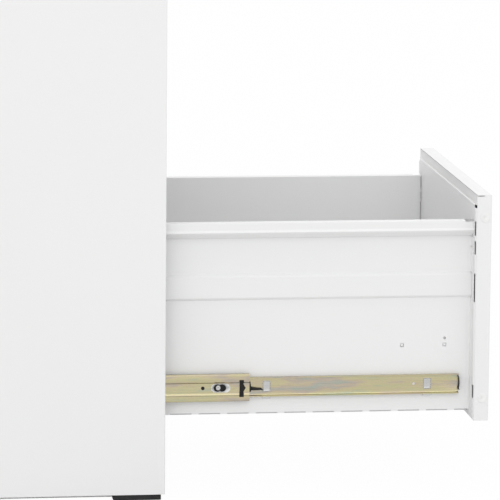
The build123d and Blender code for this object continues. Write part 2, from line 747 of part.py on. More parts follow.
def write_carcass():
    """Every piece that stays still."""
    right_side = side_panel()
    save("side_panel_right", right_side)
    save("side_panel_left", left_copy(right_side))
    save("back_panel", back_panel())
    save("top_panel", top_panel())
    save("base_panel", base_panel())
    save("front_plinth", front_plinth())
    save("front_post_right", front_post_right())
    save("front_post_left", left_copy(post(FRONT_POST_Y)))
    save("rear_posts", pair(post(REAR_POST_Y)))
    save("slide_brackets", slide_brackets())
    save("feet", feet())
    save("lock_barrel", lock_barrel())
    save("lock_plug", lock_plug())
    save("lock_cam", lock_cam())
    save("lock_bar", lock_bar())


def write_drawers():
    """The pieces of each drawer and its slides, built closed and then drawn out as posed."""
    drawer_parts = {
        "side_right": side_wall(with_catch=True),
        "side_left": left_copy(side_wall(with_catch=False)),
        "floor": drawer_floor(),
        "front_skin": front_skin(),
        "front_liner": front_liner(),
        "front_plugs": front_plugs(),
        "pull_cup": pull_cup(),
    }
    lever = release_lever()
    slide_parts = {
        "slide_outers": pair(slide_outer()),
        "slide_intermediates": pair(slide_intermediate()),
        "slide_inners": pair(slide_inner()),
        "slide_stops": both_sides(slide_stops()),
        "outer_cages": outer_cages(),
        "inner_cages": inner_cages(),
        "lever_right": lever,
        "lever_left": left_copy(lever),
    }
    for k, drawer in enumerate(DRAWERS):
        front_z = FIRST_FRONT_Z + k * FRONT_PITCH
        drawn = DRAWN_OUT if drawer == OPEN_DRAWER else 0.0
        inner = min(drawn, INNER_TRAVEL)
        intermediate = drawn - inner
        moved = {
            "slide_outers": 0.0,
            "outer_cages": intermediate / 2,
            "slide_intermediates": intermediate,
            "slide_stops": intermediate,
            "inner_cages": intermediate + inner / 2,
        }
        for name, part in drawer_parts.items():
            save(f"{drawer}_{name}", Pos(0, -drawn, front_z) * part)
        for name, part in slide_parts.items():
            shift = moved.get(name, drawn)
            save(f"{drawer}_{name}", Pos(0, -shift, front_z + SLIDE_Z) * part)


os.makedirs("parts", exist_ok=True)
write_carcass()
write_drawers()
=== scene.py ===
"""Steel filing cabinet with its lower drawer drawn out: finishes, fine pieces, light and camera."""

import json
import logging
import math
from contextlib import contextmanager
from dataclasses import dataclass
from enum import Enum
from typing import Callable, Iterator, Sequence

import bmesh
import bpy
from mathutils import Matrix, Vector


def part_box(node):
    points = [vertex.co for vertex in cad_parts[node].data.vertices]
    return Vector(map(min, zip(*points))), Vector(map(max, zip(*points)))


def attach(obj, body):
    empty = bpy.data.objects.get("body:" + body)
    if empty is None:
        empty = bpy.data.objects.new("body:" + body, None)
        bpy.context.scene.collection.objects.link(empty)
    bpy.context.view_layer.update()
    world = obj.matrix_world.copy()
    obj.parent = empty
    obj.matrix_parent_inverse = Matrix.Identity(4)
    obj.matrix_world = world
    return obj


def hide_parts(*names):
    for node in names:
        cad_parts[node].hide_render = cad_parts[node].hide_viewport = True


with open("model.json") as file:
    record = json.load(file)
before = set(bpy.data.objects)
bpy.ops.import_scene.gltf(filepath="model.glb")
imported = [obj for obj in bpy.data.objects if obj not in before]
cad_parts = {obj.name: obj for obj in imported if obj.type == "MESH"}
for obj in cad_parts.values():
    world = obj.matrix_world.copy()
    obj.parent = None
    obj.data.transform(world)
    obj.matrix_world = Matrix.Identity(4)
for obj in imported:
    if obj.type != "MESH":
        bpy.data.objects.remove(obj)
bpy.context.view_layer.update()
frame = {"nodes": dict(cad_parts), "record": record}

LOG = logging.getLogger("filing_cabinet")
MM = 0.001
# Tolerance in metres
TINY = 1e-6
# Edges sharper than this angle in degrees are eased
CRISP = 35.0

Point = tuple[float, float, float]
Flat = tuple[float, float]
Colour = tuple[float, float, float, float]
# Radius, height, dome and dimple of a round head
Head = tuple[float, ...]
Piece = bpy.types.Object
Socket = bpy.types.NodeSocket
Tree = bpy.types.NodeTree
Test = Callable[[object], bool]


def grey(tone: float) -> Colour:
    """Neutral colour."""
    return (tone, tone, tone, 1.0)


WHITE = grey(1.0)


class Slot(Enum):
    """Material slots of the record."""

    CASE = "case_paint"
    DRAWER = "drawer_paint"
    PULL = "pull_paint"
    ZINC = "slide_zinc"
    CAGE = "cage_steel"
    BLACK = "black_plastic"
    PLUG = "white_plastic"
    FOOT = "foot_plastic"
    LOCK = "lock_metal"


class Ride(Enum):
    """What a drawer's piece rides on, and its share of the drawer's and the intermediate members' way."""

    STILL = ("cabinet", 0.0, 0.0)
    DRAWER = ("{}_drawer", 1.0, 0.0)
    MIDDLE = ("{}_intermediates", 0.0, 1.0)
    OUTER_CAGE = ("{}_outer_cages", 0.0, 0.5)
    INNER_CAGE = ("{}_inner_cages", 0.5, 0.5)
    LEVER_RIGHT = ("{}_lever_right", 1.0, 0.0)
    LEVER_LEFT = ("{}_lever_left", 1.0, 0.0)


# Finishes


class Nodes:
    """Small builder round one node tree."""

    def __init__(self, tree: Tree) -> None:
        """Starts on the tree of a material, world or group."""
        self.tree = tree

    def feed(self, node: bpy.types.Node, inputs: dict) -> None:
        """Sets a node's inputs.

        Args:
            node: The node.
            inputs: Values, or sockets to link, by input name or number.
        """
        for name, value in inputs.items():
            if isinstance(value, Socket):
                self.tree.links.new(value, node.inputs[name])
            else:
                node.inputs[name].default_value = value

    def add(self, kind: str, settings: dict | None = None, inputs: dict | None = None) -> bpy.types.Node:
        """Adds a node.

        Args:
            kind: Blender's name of the node type.
            settings: Attributes of the node.
            inputs: Values, or sockets to link, by input name or number.

        Returns:
            The new node.
        """
        node = self.tree.nodes.new(kind)
        for name, value in (settings or {}).items():
            setattr(node, name, value)
        self.feed(node, inputs or {})
        return node

    def noise(self, place: Socket, scale: Socket, **inputs: float) -> Socket:
        """Adds noise and gives its value."""
        return self.add("ShaderNodeTexNoise", {}, {"Vector": place, "Scale": scale, **inputs}).outputs[0]

    def span(self, mask: Socket, low: float, high: float) -> Socket:
        """Turns a mask from 0 to 1 into a value from low to high."""
        return self.add("ShaderNodeMapRange", {}, {"Value": mask, "To Min": low, "To Max": high}).outputs[0]

    def calculate(self, operation: str, *values: object) -> Socket:
        """Adds a sum and gives its value."""
        return self.add("ShaderNodeMath", {"operation": operation}, dict(enumerate(values))).outputs[0]

    def mix(self, share: Socket, first: bpy.types.Node, second: bpy.types.Node) -> Socket:
        """Mixes two shaders by a share of the second."""
        return self.add("ShaderNodeMixShader", {}, {
            0: share, 1: first.outputs[0], 2: second.outputs[0]}).outputs[0]


class Effects:
    """Shared effects, each one node group that is built once."""

    def __init__(self) -> None:
        """Builds every group."""
        self.drift = self._clouds("tone_drift", 1.0, 3.0, 0.55)
        self.lines = self._clouds("rolling_lines", 0.012, 4.0, 0.6)
        self.relief = self._relief()

    @staticmethod
    def _start(name: str, output: str, *numbers: str) -> tuple[Nodes, bpy.types.Node]:
        """Starts a group.

        Args:
            name: The group's name.
            output: The number that it gives.
            numbers: The numbers that it takes, after a place.

        Returns:
            A builder on the new group, and the node with its inputs.
        """
        tree = bpy.data.node_groups.new(name, "ShaderNodeTree")
        tree.interface.new_socket(name="Vector", in_out="INPUT", socket_type="NodeSocketVector")
        for label in numbers:
            tree.interface.new_socket(name=label, in_out="INPUT", socket_type="NodeSocketFloat")
        tree.interface.new_socket(name=output, in_out="OUTPUT", socket_type="NodeSocketFloat")
        nodes = Nodes(tree)
        return nodes, nodes.add("NodeGroupInput")

    def _clouds(self, name: str, along: float, detail: float, roughness: float) -> Tree:
        """Slow change of tone, or rolling lines where it is drawn out along Y.

        Args:
            name: The group's name.
            along: The noise's scale along Y, against 1 across.
            detail: Its detail.
            roughness: Its roughness.

        Returns:
            The group, which turns a place into a mask from 0 to 1.
        """
        nodes, source = self._start(name, "Mask", "Scale")
        drawn = nodes.add("ShaderNodeMapping", {}, {
            "Vector": source.outputs[0], "Scale": (1.0, along, 1.0)})
        cloud = nodes.noise(drawn.outputs[0], source.outputs[1], Detail=detail, Roughness=roughness)
        spread = nodes.add("ShaderNodeMapRange", {}, {"Value": cloud, "From Min": 0.3, "From Max": 0.7})
        nodes.add("NodeGroupOutput", {}, {0: spread.outputs[0]})
        return nodes.tree

    def _relief(self) -> Tree:
        """Pebbled relief of baked powder or spark-eroded plastic.

        Returns:
            The group, which turns a place into a height.
        """
        nodes, source = self._start("pebble_relief", "Height", "Scale", "Wave")
        fine = nodes.noise(source.outputs[0], source.outputs[1], Detail=2.0)
        coarse_scale = nodes.calculate("MULTIPLY", source.outputs[1], 0.12)
        coarse = nodes.noise(source.outputs[0], coarse_scale, Detail=1.0)
        height = nodes.calculate("MULTIPLY_ADD", coarse, source.outputs[2], fine)
        nodes.add("NodeGroupOutput", {}, {0: height})
        return nodes.tree


class Surface:
    """Material that is being made, and the piece's own coordinates in it."""

    def __init__(self, name: str) -> None:
        """Starts a material.

        Args:
            name: The material's name.
        """
        self.material = bpy.data.materials.new(name)
        self.material.use_nodes = True
        self.nodes = Nodes(self.material.node_tree)
        self.place = self.nodes.add("ShaderNodeTexCoord").outputs["Object"]

    def effect(self, tree: Tree, **inputs: object) -> Socket:
        """Places a shared effect, on the piece's own coordinates unless others are given."""
        group = self.nodes.add("ShaderNodeGroup", {"node_tree": tree}, {"Vector": self.place, **inputs})
        return group.outputs[0]

    def finish(self, tone: Socket, sheen: Socket, height: Socket,
               strength: float, depth: float, **even: float) -> bpy.types.Material:
        """Feeds the shader.

        Args:
            tone: The colour.
            sheen: The roughness.
            height: The relief.
            strength: The relief's strength.
            depth: The relief's depth in metres.
            even: Inputs of the shader that are the same all over.

        Returns:
            The material.
        """
        bump = self.nodes.add("ShaderNodeBump", {}, {
            "Height": height, "Strength": strength, "Distance": depth})
        self.nodes.feed(self.material.node_tree.nodes["Principled BSDF"], {
            "Base Color": tone, "Roughness": sheen, "Normal": bump.outputs[0], **even})
        return self.material


@dataclass(frozen=True)
class CoatFinish:
    """Painted or moulded surface: a base tone with slow drift and a fine relief."""

    name: str
    light: Colour
    dark: Colour
    roughness: float
    pebble_scale: float
    pebble_depth: float
    drift_scale: float = 3.0
    gloss: float = 0.5
    wave: float = 2.0
    strength: float = 0.35
    spread: Flat = (0.04, -0.03)

    def make(self, effects: Effects) -> bpy.types.Material:
        """Builds the material.

        Args:
            effects: The shared node groups.

        Returns:
            The material.
        """
        surface = Surface(self.name)
        drift = surface.effect(effects.drift, Scale=self.drift_scale)
        tone = surface.nodes.add("ShaderNodeMix", {"data_type": "RGBA"}, {
            0: drift, 6: self.dark, 7: self.light})
        sheen = surface.nodes.span(drift, *[self.roughness + part for part in self.spread])
        relief = surface.effect(effects.relief, Scale=self.pebble_scale, Wave=self.wave)
        return surface.finish(tone.outputs[2], sheen, relief, self.strength, self.pebble_depth,
                              **{"Specular IOR Level": self.gloss})


@dataclass(frozen=True)
class MetalFinish:
    """Rolled or plated metal: tints that wander along the strip and fine rolling lines."""

    name: str
    tints: tuple[tuple[float, Colour], ...]
    roughness: float
    tint_scale: float = 6.0
    line_scale: float = 700.0
    line_depth: float = 0.00002
    strength: float = 0.5
    spread: Flat = (0.06, -0.05)
    shades: Flat = (0.93, 1.05)
    shift: Point = (0.0, 2.9, 0.1)
    stretch: Point = (6.0, 1.0, 6.0)

    def ramp(self, surface: Surface, mask: Socket) -> Socket:
        """Turns a mask into the tints.

        Args:
            surface: The material.
            mask: The mask from 0 to 1.

        Returns:
            The tint.
        """
        ramp = surface.nodes.add("ShaderNodeValToRGB", {}, {0: mask})
        elements = ramp.color_ramp.elements
        for place, colour in self.tints[1:-1]:
            elements.new(place).color = colour
        for end in (0, -1):
            elements[end].position, elements[end].color = self.tints[end]
        return ramp.outputs[0]

    def make(self, effects: Effects) -> bpy.types.Material:
        """Builds the material.

        Args:
            effects: The shared node groups.

        Returns:
            The material.
        """
        surface = Surface(self.name)
        stretched = surface.nodes.add("ShaderNodeMapping", {}, {
            "Vector": surface.place, "Location": self.shift, "Scale": self.stretch})
        drift = surface.effect(effects.drift, Vector=stretched.outputs[0], Scale=self.tint_scale)
        lines = surface.effect(effects.lines, Scale=self.line_scale)
        tone = surface.nodes.add("ShaderNodeVectorMath", {"operation": "SCALE"}, {
            0: self.ramp(surface, drift), "Scale": surface.nodes.span(lines, *self.shades)})
        sheen = surface.nodes.span(lines, *[self.roughness + part for part in self.spread])
        return surface.finish(tone.outputs[0], sheen, lines, self.strength, self.line_depth, Metallic=1.0)


class Finishes:
    """Every finish of the cabinet, by record slot."""

    def __init__(self) -> None:
        """Builds the shared effects and the materials."""
        effects = Effects()
        paint = (grey(0.862), grey(0.85), 0.42, 850.0, 0.00006)
        recipes = {
            Slot.CASE: CoatFinish("powder_white_case", *paint),
            Slot.DRAWER: CoatFinish("powder_white_drawer", *paint),
            # The pull's grey also serves as painted shade on the floor strips under the drawers
            Slot.PULL: CoatFinish("satin_grey_pull_and_painted_shade", grey(0.62), grey(0.58), 0.38, 1100.0, 0.00005),
            # Black nylon, also used as painted shade at the inner members' front edges
            Slot.BLACK: CoatFinish("black_nylon_and_painted_shade", (0.010, 0.010, 0.009, 1.0), grey(0.006),
                                   0.5, 1400.0, 0.00008, 40.0, 0.3),
            Slot.PLUG: CoatFinish("white_nylon", (0.87, 0.87, 0.865, 1.0), (0.85, 0.85, 0.845, 1.0),
                                  0.34, 1500.0, 0.00003, 30.0),
            Slot.FOOT: CoatFinish("black_rubber", grey(0.028), grey(0.017),
                                  0.62, 900.0, 0.0003, 60.0, 0.35),
            Slot.ZINC: MetalFinish("yellow_zinc", (
                (0.0, (0.42, 0.46, 0.40, 1.0)), (0.25, (0.52, 0.45, 0.37, 1.0)),
                (0.45, (0.59, 0.52, 0.34, 1.0)), (0.7, (0.58, 0.54, 0.33, 1.0)),
                (1.0, (0.47, 0.50, 0.38, 1.0))), 0.27, 14.0),
            Slot.CAGE: MetalFinish("bright_steel", (
                (0.0, grey(0.55)), (1.0, (0.66, 0.66, 0.65, 1.0))), 0.22),
            Slot.LOCK: MetalFinish("bright_nickel", (
                (0.0, (0.66, 0.65, 0.62, 1.0)), (1.0, (0.74, 0.73, 0.70, 1.0))),
                                   0.16, 40.0, 1500.0, 0.000005),
        }
        self.materials = {slot: recipe.make(effects) for slot, recipe in recipes.items()}

    def dress(self, piece: Piece, slot: Slot) -> None:
        """Gives a piece the finish of a slot."""
        piece.data.materials.clear()
        piece.data.materials.append(self.materials[slot])


# Modelling steps in millimetres, which leave their piece active in object mode


def clear() -> None:
    """Deselects everything."""
    bpy.ops.object.select_all(action="DESELECT")


def hold(*pieces: Piece) -> None:
    """Selects only these pieces.

    Args:
        pieces: The pieces; the first is active.
    """
    clear()
    for piece in pieces:
        piece.select_set(True)
    bpy.context.view_layer.objects.active = pieces[0]


def settle(piece: Piece, name: str) -> Piece:
    """Names a new piece, and moves its place, turn and size into its mesh.

    Args:
        piece: The piece.
        name: Its name.

    Returns:
        The piece, at the origin.
    """
    piece.name = name
    piece.data.name = name
    hold(piece)
    bpy.ops.object.transform_apply(location=True, rotation=True, scale=True)
    return piece


@contextmanager
def editing(piece: Piece, kind: str, test: Test = lambda item: True) -> Iterator[None]:
    """Opens a piece in edit mode with some of it selected, and closes it again.

    Args:
        piece: The piece.
        kind: VERT, EDGE or FACE.
        test: Says which vertices, edges or faces are selected.

    Yields:
        Nothing.
    """
    hold(piece)
    bpy.ops.object.mode_set(mode="EDIT")
    bpy.ops.mesh.select_mode(type=kind)
    bpy.ops.mesh.select_all(action="DESELECT")
    mesh = bmesh.from_edit_mesh(piece.data)
    for item in {"VERT": mesh.verts, "EDGE": mesh.edges, "FACE": mesh.faces}[kind]:
        if test(item):
            item.select_set(True)
    mesh.select_flush_mode()
    bmesh.update_edit_mesh(piece.data)
    yield
    bpy.ops.object.mode_set(mode="OBJECT")


def at(axis: str, level: float) -> Test:
    """Test for edges and faces that lie at one level of an axis."""
    k = "XYZ".index(axis)
    return lambda item: all(abs(vertex.co[k] - level * MM) < TINY for vertex in item.verts)


def amid(*places: Vector) -> Test:
    """Test for edges whose middle is at one of some places, in metres."""
    return lambda edge: any(
        ((edge.verts[0].co + edge.verts[1].co) / 2 - place).length < TINY for place in places)


def bevel(piece: Piece, test: Test, width: float, segments: int = 4) -> Piece:
    """Rounds the edges that pass a test.

    Args:
        piece: The piece.
        test: Says which edges.
        width: How far they are rounded.
        segments: The steps of the rounding.

    Returns:
        The piece.
    """
    with editing(piece, "EDGE", test):
        bpy.ops.mesh.bevel(offset=width * MM, segments=segments, affect="EDGES")
    return piece


def modify(piece: Piece, kind: str, live: bool = False, **settings: object) -> Piece:
    """Adds a modifier, and applies it unless it stays live.

    Args:
        piece: The piece.
        kind: Blender's name of the modifier.
        live: Whether the modifier stays live.
        settings: Its settings.

    Returns:
        The piece.
    """
    modifier = piece.modifiers.new(kind.lower(), kind)
    for name, value in settings.items():
        setattr(modifier, name, value)
    if not live:
        hold(piece)
        bpy.ops.object.modifier_apply(modifier=modifier.name)
    return piece


def block(name: str, low: Point, high: Point) -> Piece:
    """Rectangular start of a piece or cutter.

    Args:
        name: Its name.
        low: Lowest corner.
        high: Highest corner.

    Returns:
        The block.
    """
    clear()
    bpy.ops.mesh.primitive_cube_add(size=1, location=[(a + b) / 2 * MM for a, b in zip(low, high)])
    bpy.context.object.scale = [(b - a) * MM for a, b in zip(low, high)]
    return settle(bpy.context.object, name)


def rod(name: str, centre: Point, axis: str, radius: float, length: float, sides: int = 32) -> Piece:
    """Round start of a piece or cutter.

    Args:
        name: Its name.
        centre: Its middle.
        axis: X, Y or Z.
        radius: Its radius.
        length: Its length.
        sides: Its number of sides.

    Returns:
        The rod.
    """
    turn = {"X": (0, math.pi / 2, 0), "Y": (math.pi / 2, 0, 0), "Z": (0, 0, 0)}[axis]
    clear()
    bpy.ops.mesh.primitive_cylinder_add(vertices=sides, radius=radius * MM, depth=length * MM,
                                        location=[v * MM for v in centre], rotation=turn)
    return settle(bpy.context.object, name)


def ball(name: str, centre: Point, radius: float) -> Piece:
    """Bearing ball, which is joined to its cage.

    Args:
        name: Its name.
        centre: Its middle.
        radius: Its radius.

    Returns:
        The ball.
    """
    clear()
    bpy.ops.mesh.primitive_uv_sphere_add(segments=16, ring_count=10, radius=radius * MM,
                                         location=[v * MM for v in centre])
    return settle(bpy.context.object, name)


def _spread(axis: str, point: Flat, along: float) -> Vector:
    """Place in metres of a section's point, where the section runs along an axis."""
    a, b = point
    return Vector({"X": (along, a, b), "Y": (a, along, b), "Z": (a, b, along)}[axis]) * MM


def strip(name: str, path: Sequence[Flat], axis: str, start: float, end: float) -> Piece:
    """Open strip without thickness, drawn edge by edge along a section.

    Args:
        name: Its name.
        path: The section's points.
        axis: The direction the strip runs in.
        start: Where it starts on the axis.
        end: Where it ends.

    Returns:
        The strip.
    """
    corners = [_spread(axis, point, start) for point in path]
    run = _spread(axis, path[0], end) - corners[0]
    first = corners[1] - corners[0]
    turn = Matrix((first.normalized(), run.normalized(), first.cross(run).normalized())).transposed()
    size = Matrix.Diagonal((first.length, run.length, 1, 1))
    clear()
    bpy.ops.mesh.primitive_plane_add(size=1)
    piece = bpy.context.object
    piece.matrix_world = Matrix.Translation(corners[0] + (first + run) / 2) @ turn.to_4x4() @ size
    settle(piece, name)
    for here, there in zip(corners[1:], corners[2:]):
        with editing(piece, "EDGE", amid(here + run / 2)):
            bpy.ops.mesh.extrude_region_move(TRANSFORM_OT_translate={"value": there - here})
    return piece


def plate(name: str, outline: Sequence[Flat], axis: str, start: float, end: float) -> Piece:
    """Solid with any outline, drawn vertex by vertex and pulled out along an axis.

    Args:
        name: Its name.
        outline: Its corners, in order.
        axis: The direction it is pulled in.
        start: Where it starts on the axis.
        end: Where it ends.

    Returns:
        The solid.
    """
    places = [_spread(axis, point, start) for point in outline]
    run = _spread(axis, outline[0], end) - places[0]
    clear()
    bpy.ops.mesh.primitive_plane_add(size=MM, location=places[0])
    piece = settle(bpy.context.object, name)
    with editing(piece, "VERT"):
        bpy.ops.mesh.merge(type="CENTER")
        for here, there in zip(places, places[1:]):
            bpy.ops.mesh.extrude_vertices_move(TRANSFORM_OT_translate={"value": there - here})
        bpy.ops.mesh.select_all(action="SELECT")
        bpy.ops.mesh.edge_face_add()
        bpy.ops.mesh.extrude_region_move(TRANSFORM_OT_translate={"value": run})
    return outwards(piece)


def fold(name: str, path: Sequence[Flat], axis: str, start: float, end: float, sheet: float,
         bend: float = 0.0) -> Piece:
    """Folded sheet with rounded bends. Its thickness lies to the right of the path for a run along +Y.

    Args:
        name: Its name.
        path: The section's points, on the outer or inner skin.
        axis: The direction the sheet runs in.
        start: Where it starts on the axis.
        end: Where it ends.
        sheet: Its thickness; negative to the other side of the path.
        bend: How far each fold is rounded.

    Returns:
        The sheet.
    """
    piece = strip(name, path, axis, start, end)
    if bend:
        folds = [_spread(axis, point, (start + end) / 2) for point in path[1:-1]]
        with editing(piece, "EDGE", amid(*folds)):
            bpy.ops.mesh.bevel(offset=bend * MM, segments=3, affect="EDGES", clamp_overlap=True)
    modify(piece, "SOLIDIFY", thickness=abs(sheet) * MM, offset=math.copysign(1, sheet),
           use_even_offset=True)
    return outwards(piece)


def button(name: str, centre: Point, axis: str, radius: float, height: float, dome: float,
           dimple: float = 0.0) -> Piece:
    """Round head with a domed rim, and a dimple in its middle where one is asked for.

    Args:
        name: Its name.
        centre: The middle of its base.
        axis: X, Y or Z; the head looks along it.
        radius: Its radius.
        height: Its height; negative where it looks the other way.
        dome: How far its rim is rounded.
        dimple: Radius of the dimple.

    Returns:
        The head.
    """
    k = "XYZ".index(axis)
    middle = list(centre)
    middle[k] += height / 2
    head = rod(name, tuple(middle), axis, radius, abs(height), 40)
    on_face = at(axis, centre[k] + height)
    with editing(head, "FACE", on_face):
        if dimple:
            bpy.ops.mesh.inset(thickness=(radius - dimple) * MM)
            slope, depth = 0.35 * dimple, 0.3 * abs(height)
            bpy.ops.mesh.inset(thickness=slope * MM, depth=-depth * MM)
    reach = 0.98 * math.hypot(radius, height) * MM
    base = Vector(centre) * MM

    def on_rim(edge: bmesh.types.BMEdge) -> bool:
        return on_face(edge) and all((v.co - base).length > reach for v in edge.verts)

    return smooth(bevel(head, on_rim, dome))


def soften(piece: Piece, axis: str, radius: float) -> Piece:
    """Rounds the corners of an outline, which are the edges that run along one axis.

    Args:
        piece: The piece.
        axis: X, Y or Z.
        radius: How far the corners are rounded.

    Returns:
        The piece.
    """
    k = "XYZ".index(axis)

    def runs(edge: bmesh.types.BMEdge) -> bool:
        way = edge.verts[1].co - edge.verts[0].co
        return way.length > 0 and abs(way[k]) > 0.999 * way.length

    return bevel(piece, runs, radius)


def outwards(piece: Piece) -> Piece:
    """Turns every face of a closed piece outwards.

    Args:
        piece: The piece.

    Returns:
        The piece.
    """
    with editing(piece, "FACE"):
        bpy.ops.mesh.normals_make_consistent(inside=False)
    return piece


def join(*pieces: Piece) -> Piece:
    """Joins pieces into the first one.

    Args:
        pieces: The pieces.

    Returns:
        The joined piece.
    """
    hold(*pieces)
    if len(pieces) > 1:
        bpy.ops.object.join()
    return pieces[0]


def fuse(piece: Piece, other: Piece, operation: str = "UNION") -> Piece:
    """Unites two solids that overlap, and throws the second away.

    Args:
        piece: The first solid.
        other: The second solid.
        operation: UNION, or DIFFERENCE to cut the second out of the first.

    Returns:
        The first solid.
    """
    modify(piece, "BOOLEAN", object=other, operation=operation, solver="EXACT")
    bpy.data.objects.remove(other)
    return piece


def cut(piece: Piece, *cutters: Piece) -> Piece:
    """Cuts closed pieces that don't overlap each other out of a piece, and throws them away."""
    return fuse(piece, join(*cutters), "DIFFERENCE")


def copy(piece: Piece, name: str, shift: Point = (0, 0, 0), flip: int = 1) -> Piece:
    """Copies a piece with its own mesh.

    Args:
        piece: The piece.
        name: The copy's name.
        shift: How far the copy moves.
        flip: -1 mirrors the copy to the other side.

    Returns:
        The copy.
    """
    hold(piece)
    bpy.ops.object.duplicate()
    twin = bpy.context.object
    twin.location = [v * MM for v in shift]
    twin.scale = (flip, 1, 1)
    return settle(twin, name)


def mirrored(piece: Piece) -> Piece:
    """Copies a right-hand piece to the left."""
    return outwards(copy(piece, "left_twin", flip=-1))


def both(*pieces: Piece) -> Piece:
    """Joins right-hand pieces, and joins them with their mirror image."""
    right = join(*pieces)
    return join(right, mirrored(right))


def ease(piece: Piece, width: float, segments: int = 2) -> Piece:
    """Rounds a piece's sharp edges and keeps its flat faces flat.

    Args:
        piece: The piece.
        width: The width of the rounding.
        segments: The steps of the rounding.

    Returns:
        The piece.
    """
    modify(piece, "BEVEL", width=width * MM, segments=segments, limit_method="ANGLE",
           angle_limit=math.radians(CRISP), use_clamp_overlap=True)
    return smooth(piece)


def smooth(piece: Piece, angle: float = 40.0) -> Piece:
    """Shades bends round and flats flat.

    Args:
        piece: The piece.
        angle: Edges sharper than this stay crisp, in degrees.

    Returns:
        The piece.
    """
    hold(piece)
    bpy.ops.object.shade_smooth_by_angle(angle=math.radians(angle))
    return modify(piece, "WEIGHTED_NORMAL", mode="FACE_AREA", weight=80, keep_sharp=True)


# Levels, and the shop that finishes pieces


@dataclass(frozen=True)
class Levels:
    """Places that the drawers and their slides share, in millimetres."""

    front_y: float = -96.0
    first_z: float = 96.5
    pitch: float = 303.0
    front_depth: float = 21.5
    slide_z: float = 46.5
    slide_setback: float = 37.0
    slide_length: float = 550.0
    inner_travel: float = 278.0
    windows: Flat = (36.2, 249.2)
    window_length: float = 10.5
    drawn: tuple[tuple[str, float], ...] = (("lower", 428.0), ("centre", 0.0), ("upper", 0.0))

    def slide_front(self) -> float:
        """Front end of a closed slide."""
        return self.front_y + self.slide_setback

    def wall_front(self) -> float:
        """Front end of a closed drawer's walls."""
        return self.front_y + self.front_depth

    def drawers(self) -> Iterator[tuple[str, float, float, float]]:
        """Name, bottom of the front, way drawn out and way of the intermediate members.

        Yields:
            One tuple a drawer.
        """
        for k, (name, drawn) in enumerate(self.drawn):
            yield name, self.first_z + k * self.pitch, drawn, drawn - min(drawn, self.inner_travel)


@dataclass
class Shop:
    """Sets finished pieces on their bodies, with their finishes."""

    finishes: Finishes
    levels: Levels
    weld: float = 0.01
    eased: float = 0.3
    reported: float = 0.3

    def __post_init__(self) -> None:
        """Starts the list of the frame's nodes that pieces stand for."""
        self.replaced: set[str] = set()

    def deliver(self, piece: Piece, body: str, slot: Slot, *nodes: str) -> None:
        """Sets one piece on its body.

        Args:
            piece: The piece.
            body: The body it rides on.
            slot: Its finish.
            nodes: Nodes of the frame that it stands for.
        """
        self.finishes.dress(piece, slot)
        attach(piece, body)
        if nodes:
            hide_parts(*nodes)
            self.replaced.update(nodes)
            self._compare(piece, nodes)
        LOG.info("%s on %s, %s", piece.name, body, slot.value)

    def _compare(self, piece: Piece, nodes: Sequence[str]) -> None:
        """Reports how far a piece reaches past the nodes that it stands for."""
        corners = [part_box(node) for node in nodes]
        low = [min(c[0][k] for c in corners) for k in range(3)]
        high = [max(c[1][k] for c in corners) for k in range(3)]
        points = [v.co for v in piece.data.vertices]
        past_low = [round((low[k] - min(p[k] for p in points)) / MM, 2) for k in range(3)]
        past_high = [round((max(p[k] for p in points) - high[k]) / MM, 2) for k in range(3)]
        if max(map(abs, past_low + past_high)) > self.reported:
            LOG.info("  %s reaches past %s by %s and %s mm", piece.name, nodes[0], past_low, past_high)

    def fit(self, model: Piece, name: str, ride: Ride, slot: Slot, node: str = "",
            level: float = 0.0) -> None:
        """Sets a copy of a model on every drawer, and throws the model away.

        Args:
            model: The piece, on a closed drawer whose front stands on z = 0.
            name: The copies' name, after the drawer's.
            ride: What they ride on.
            slot: Their finish.
            node: Node that they stand for, after the drawer's name.
            level: How far above its own place the model belongs.
        """
        body, with_drawer, with_middle = ride.value
        for drawer, z, drawn, middle in self.levels.drawers():
            shift = (0, -drawn * with_drawer - middle * with_middle, z + level)
            nodes = [f"{drawer}_{node}"] if node else []
            self.deliver(copy(model, f"{drawer}_{name}", shift), body.format(drawer), slot, *nodes)
        bpy.data.objects.remove(model)

    def dress_frame(self) -> None:
        """Finishes the frame's own nodes, with their edges eased by live modifiers."""
        slots = {part["node"]: Slot(part["material_slot"]) for part in frame["record"]["subparts"]}
        for name, node in frame["nodes"].items():
            self.finishes.dress(node, slots[name])
            if name in self.replaced:
                continue
            modify(node, "WELD", live=True, merge_threshold=self.weld * MM)
            modify(node, "BEVEL", live=True, width=self.eased * MM, segments=2, limit_method="ANGLE",
                   angle_limit=math.radians(CRISP))
            modify(node, "WEIGHTED_NORMAL", live=True, weight=80)
            LOG.info("%s keeps the frame's shape", name)


@dataclass
class Assembly:
    """Sub-assembly with its sizes in millimetres, which builds its pieces for the shop."""

    levels: Levels
    shop: Shop


# Drawers


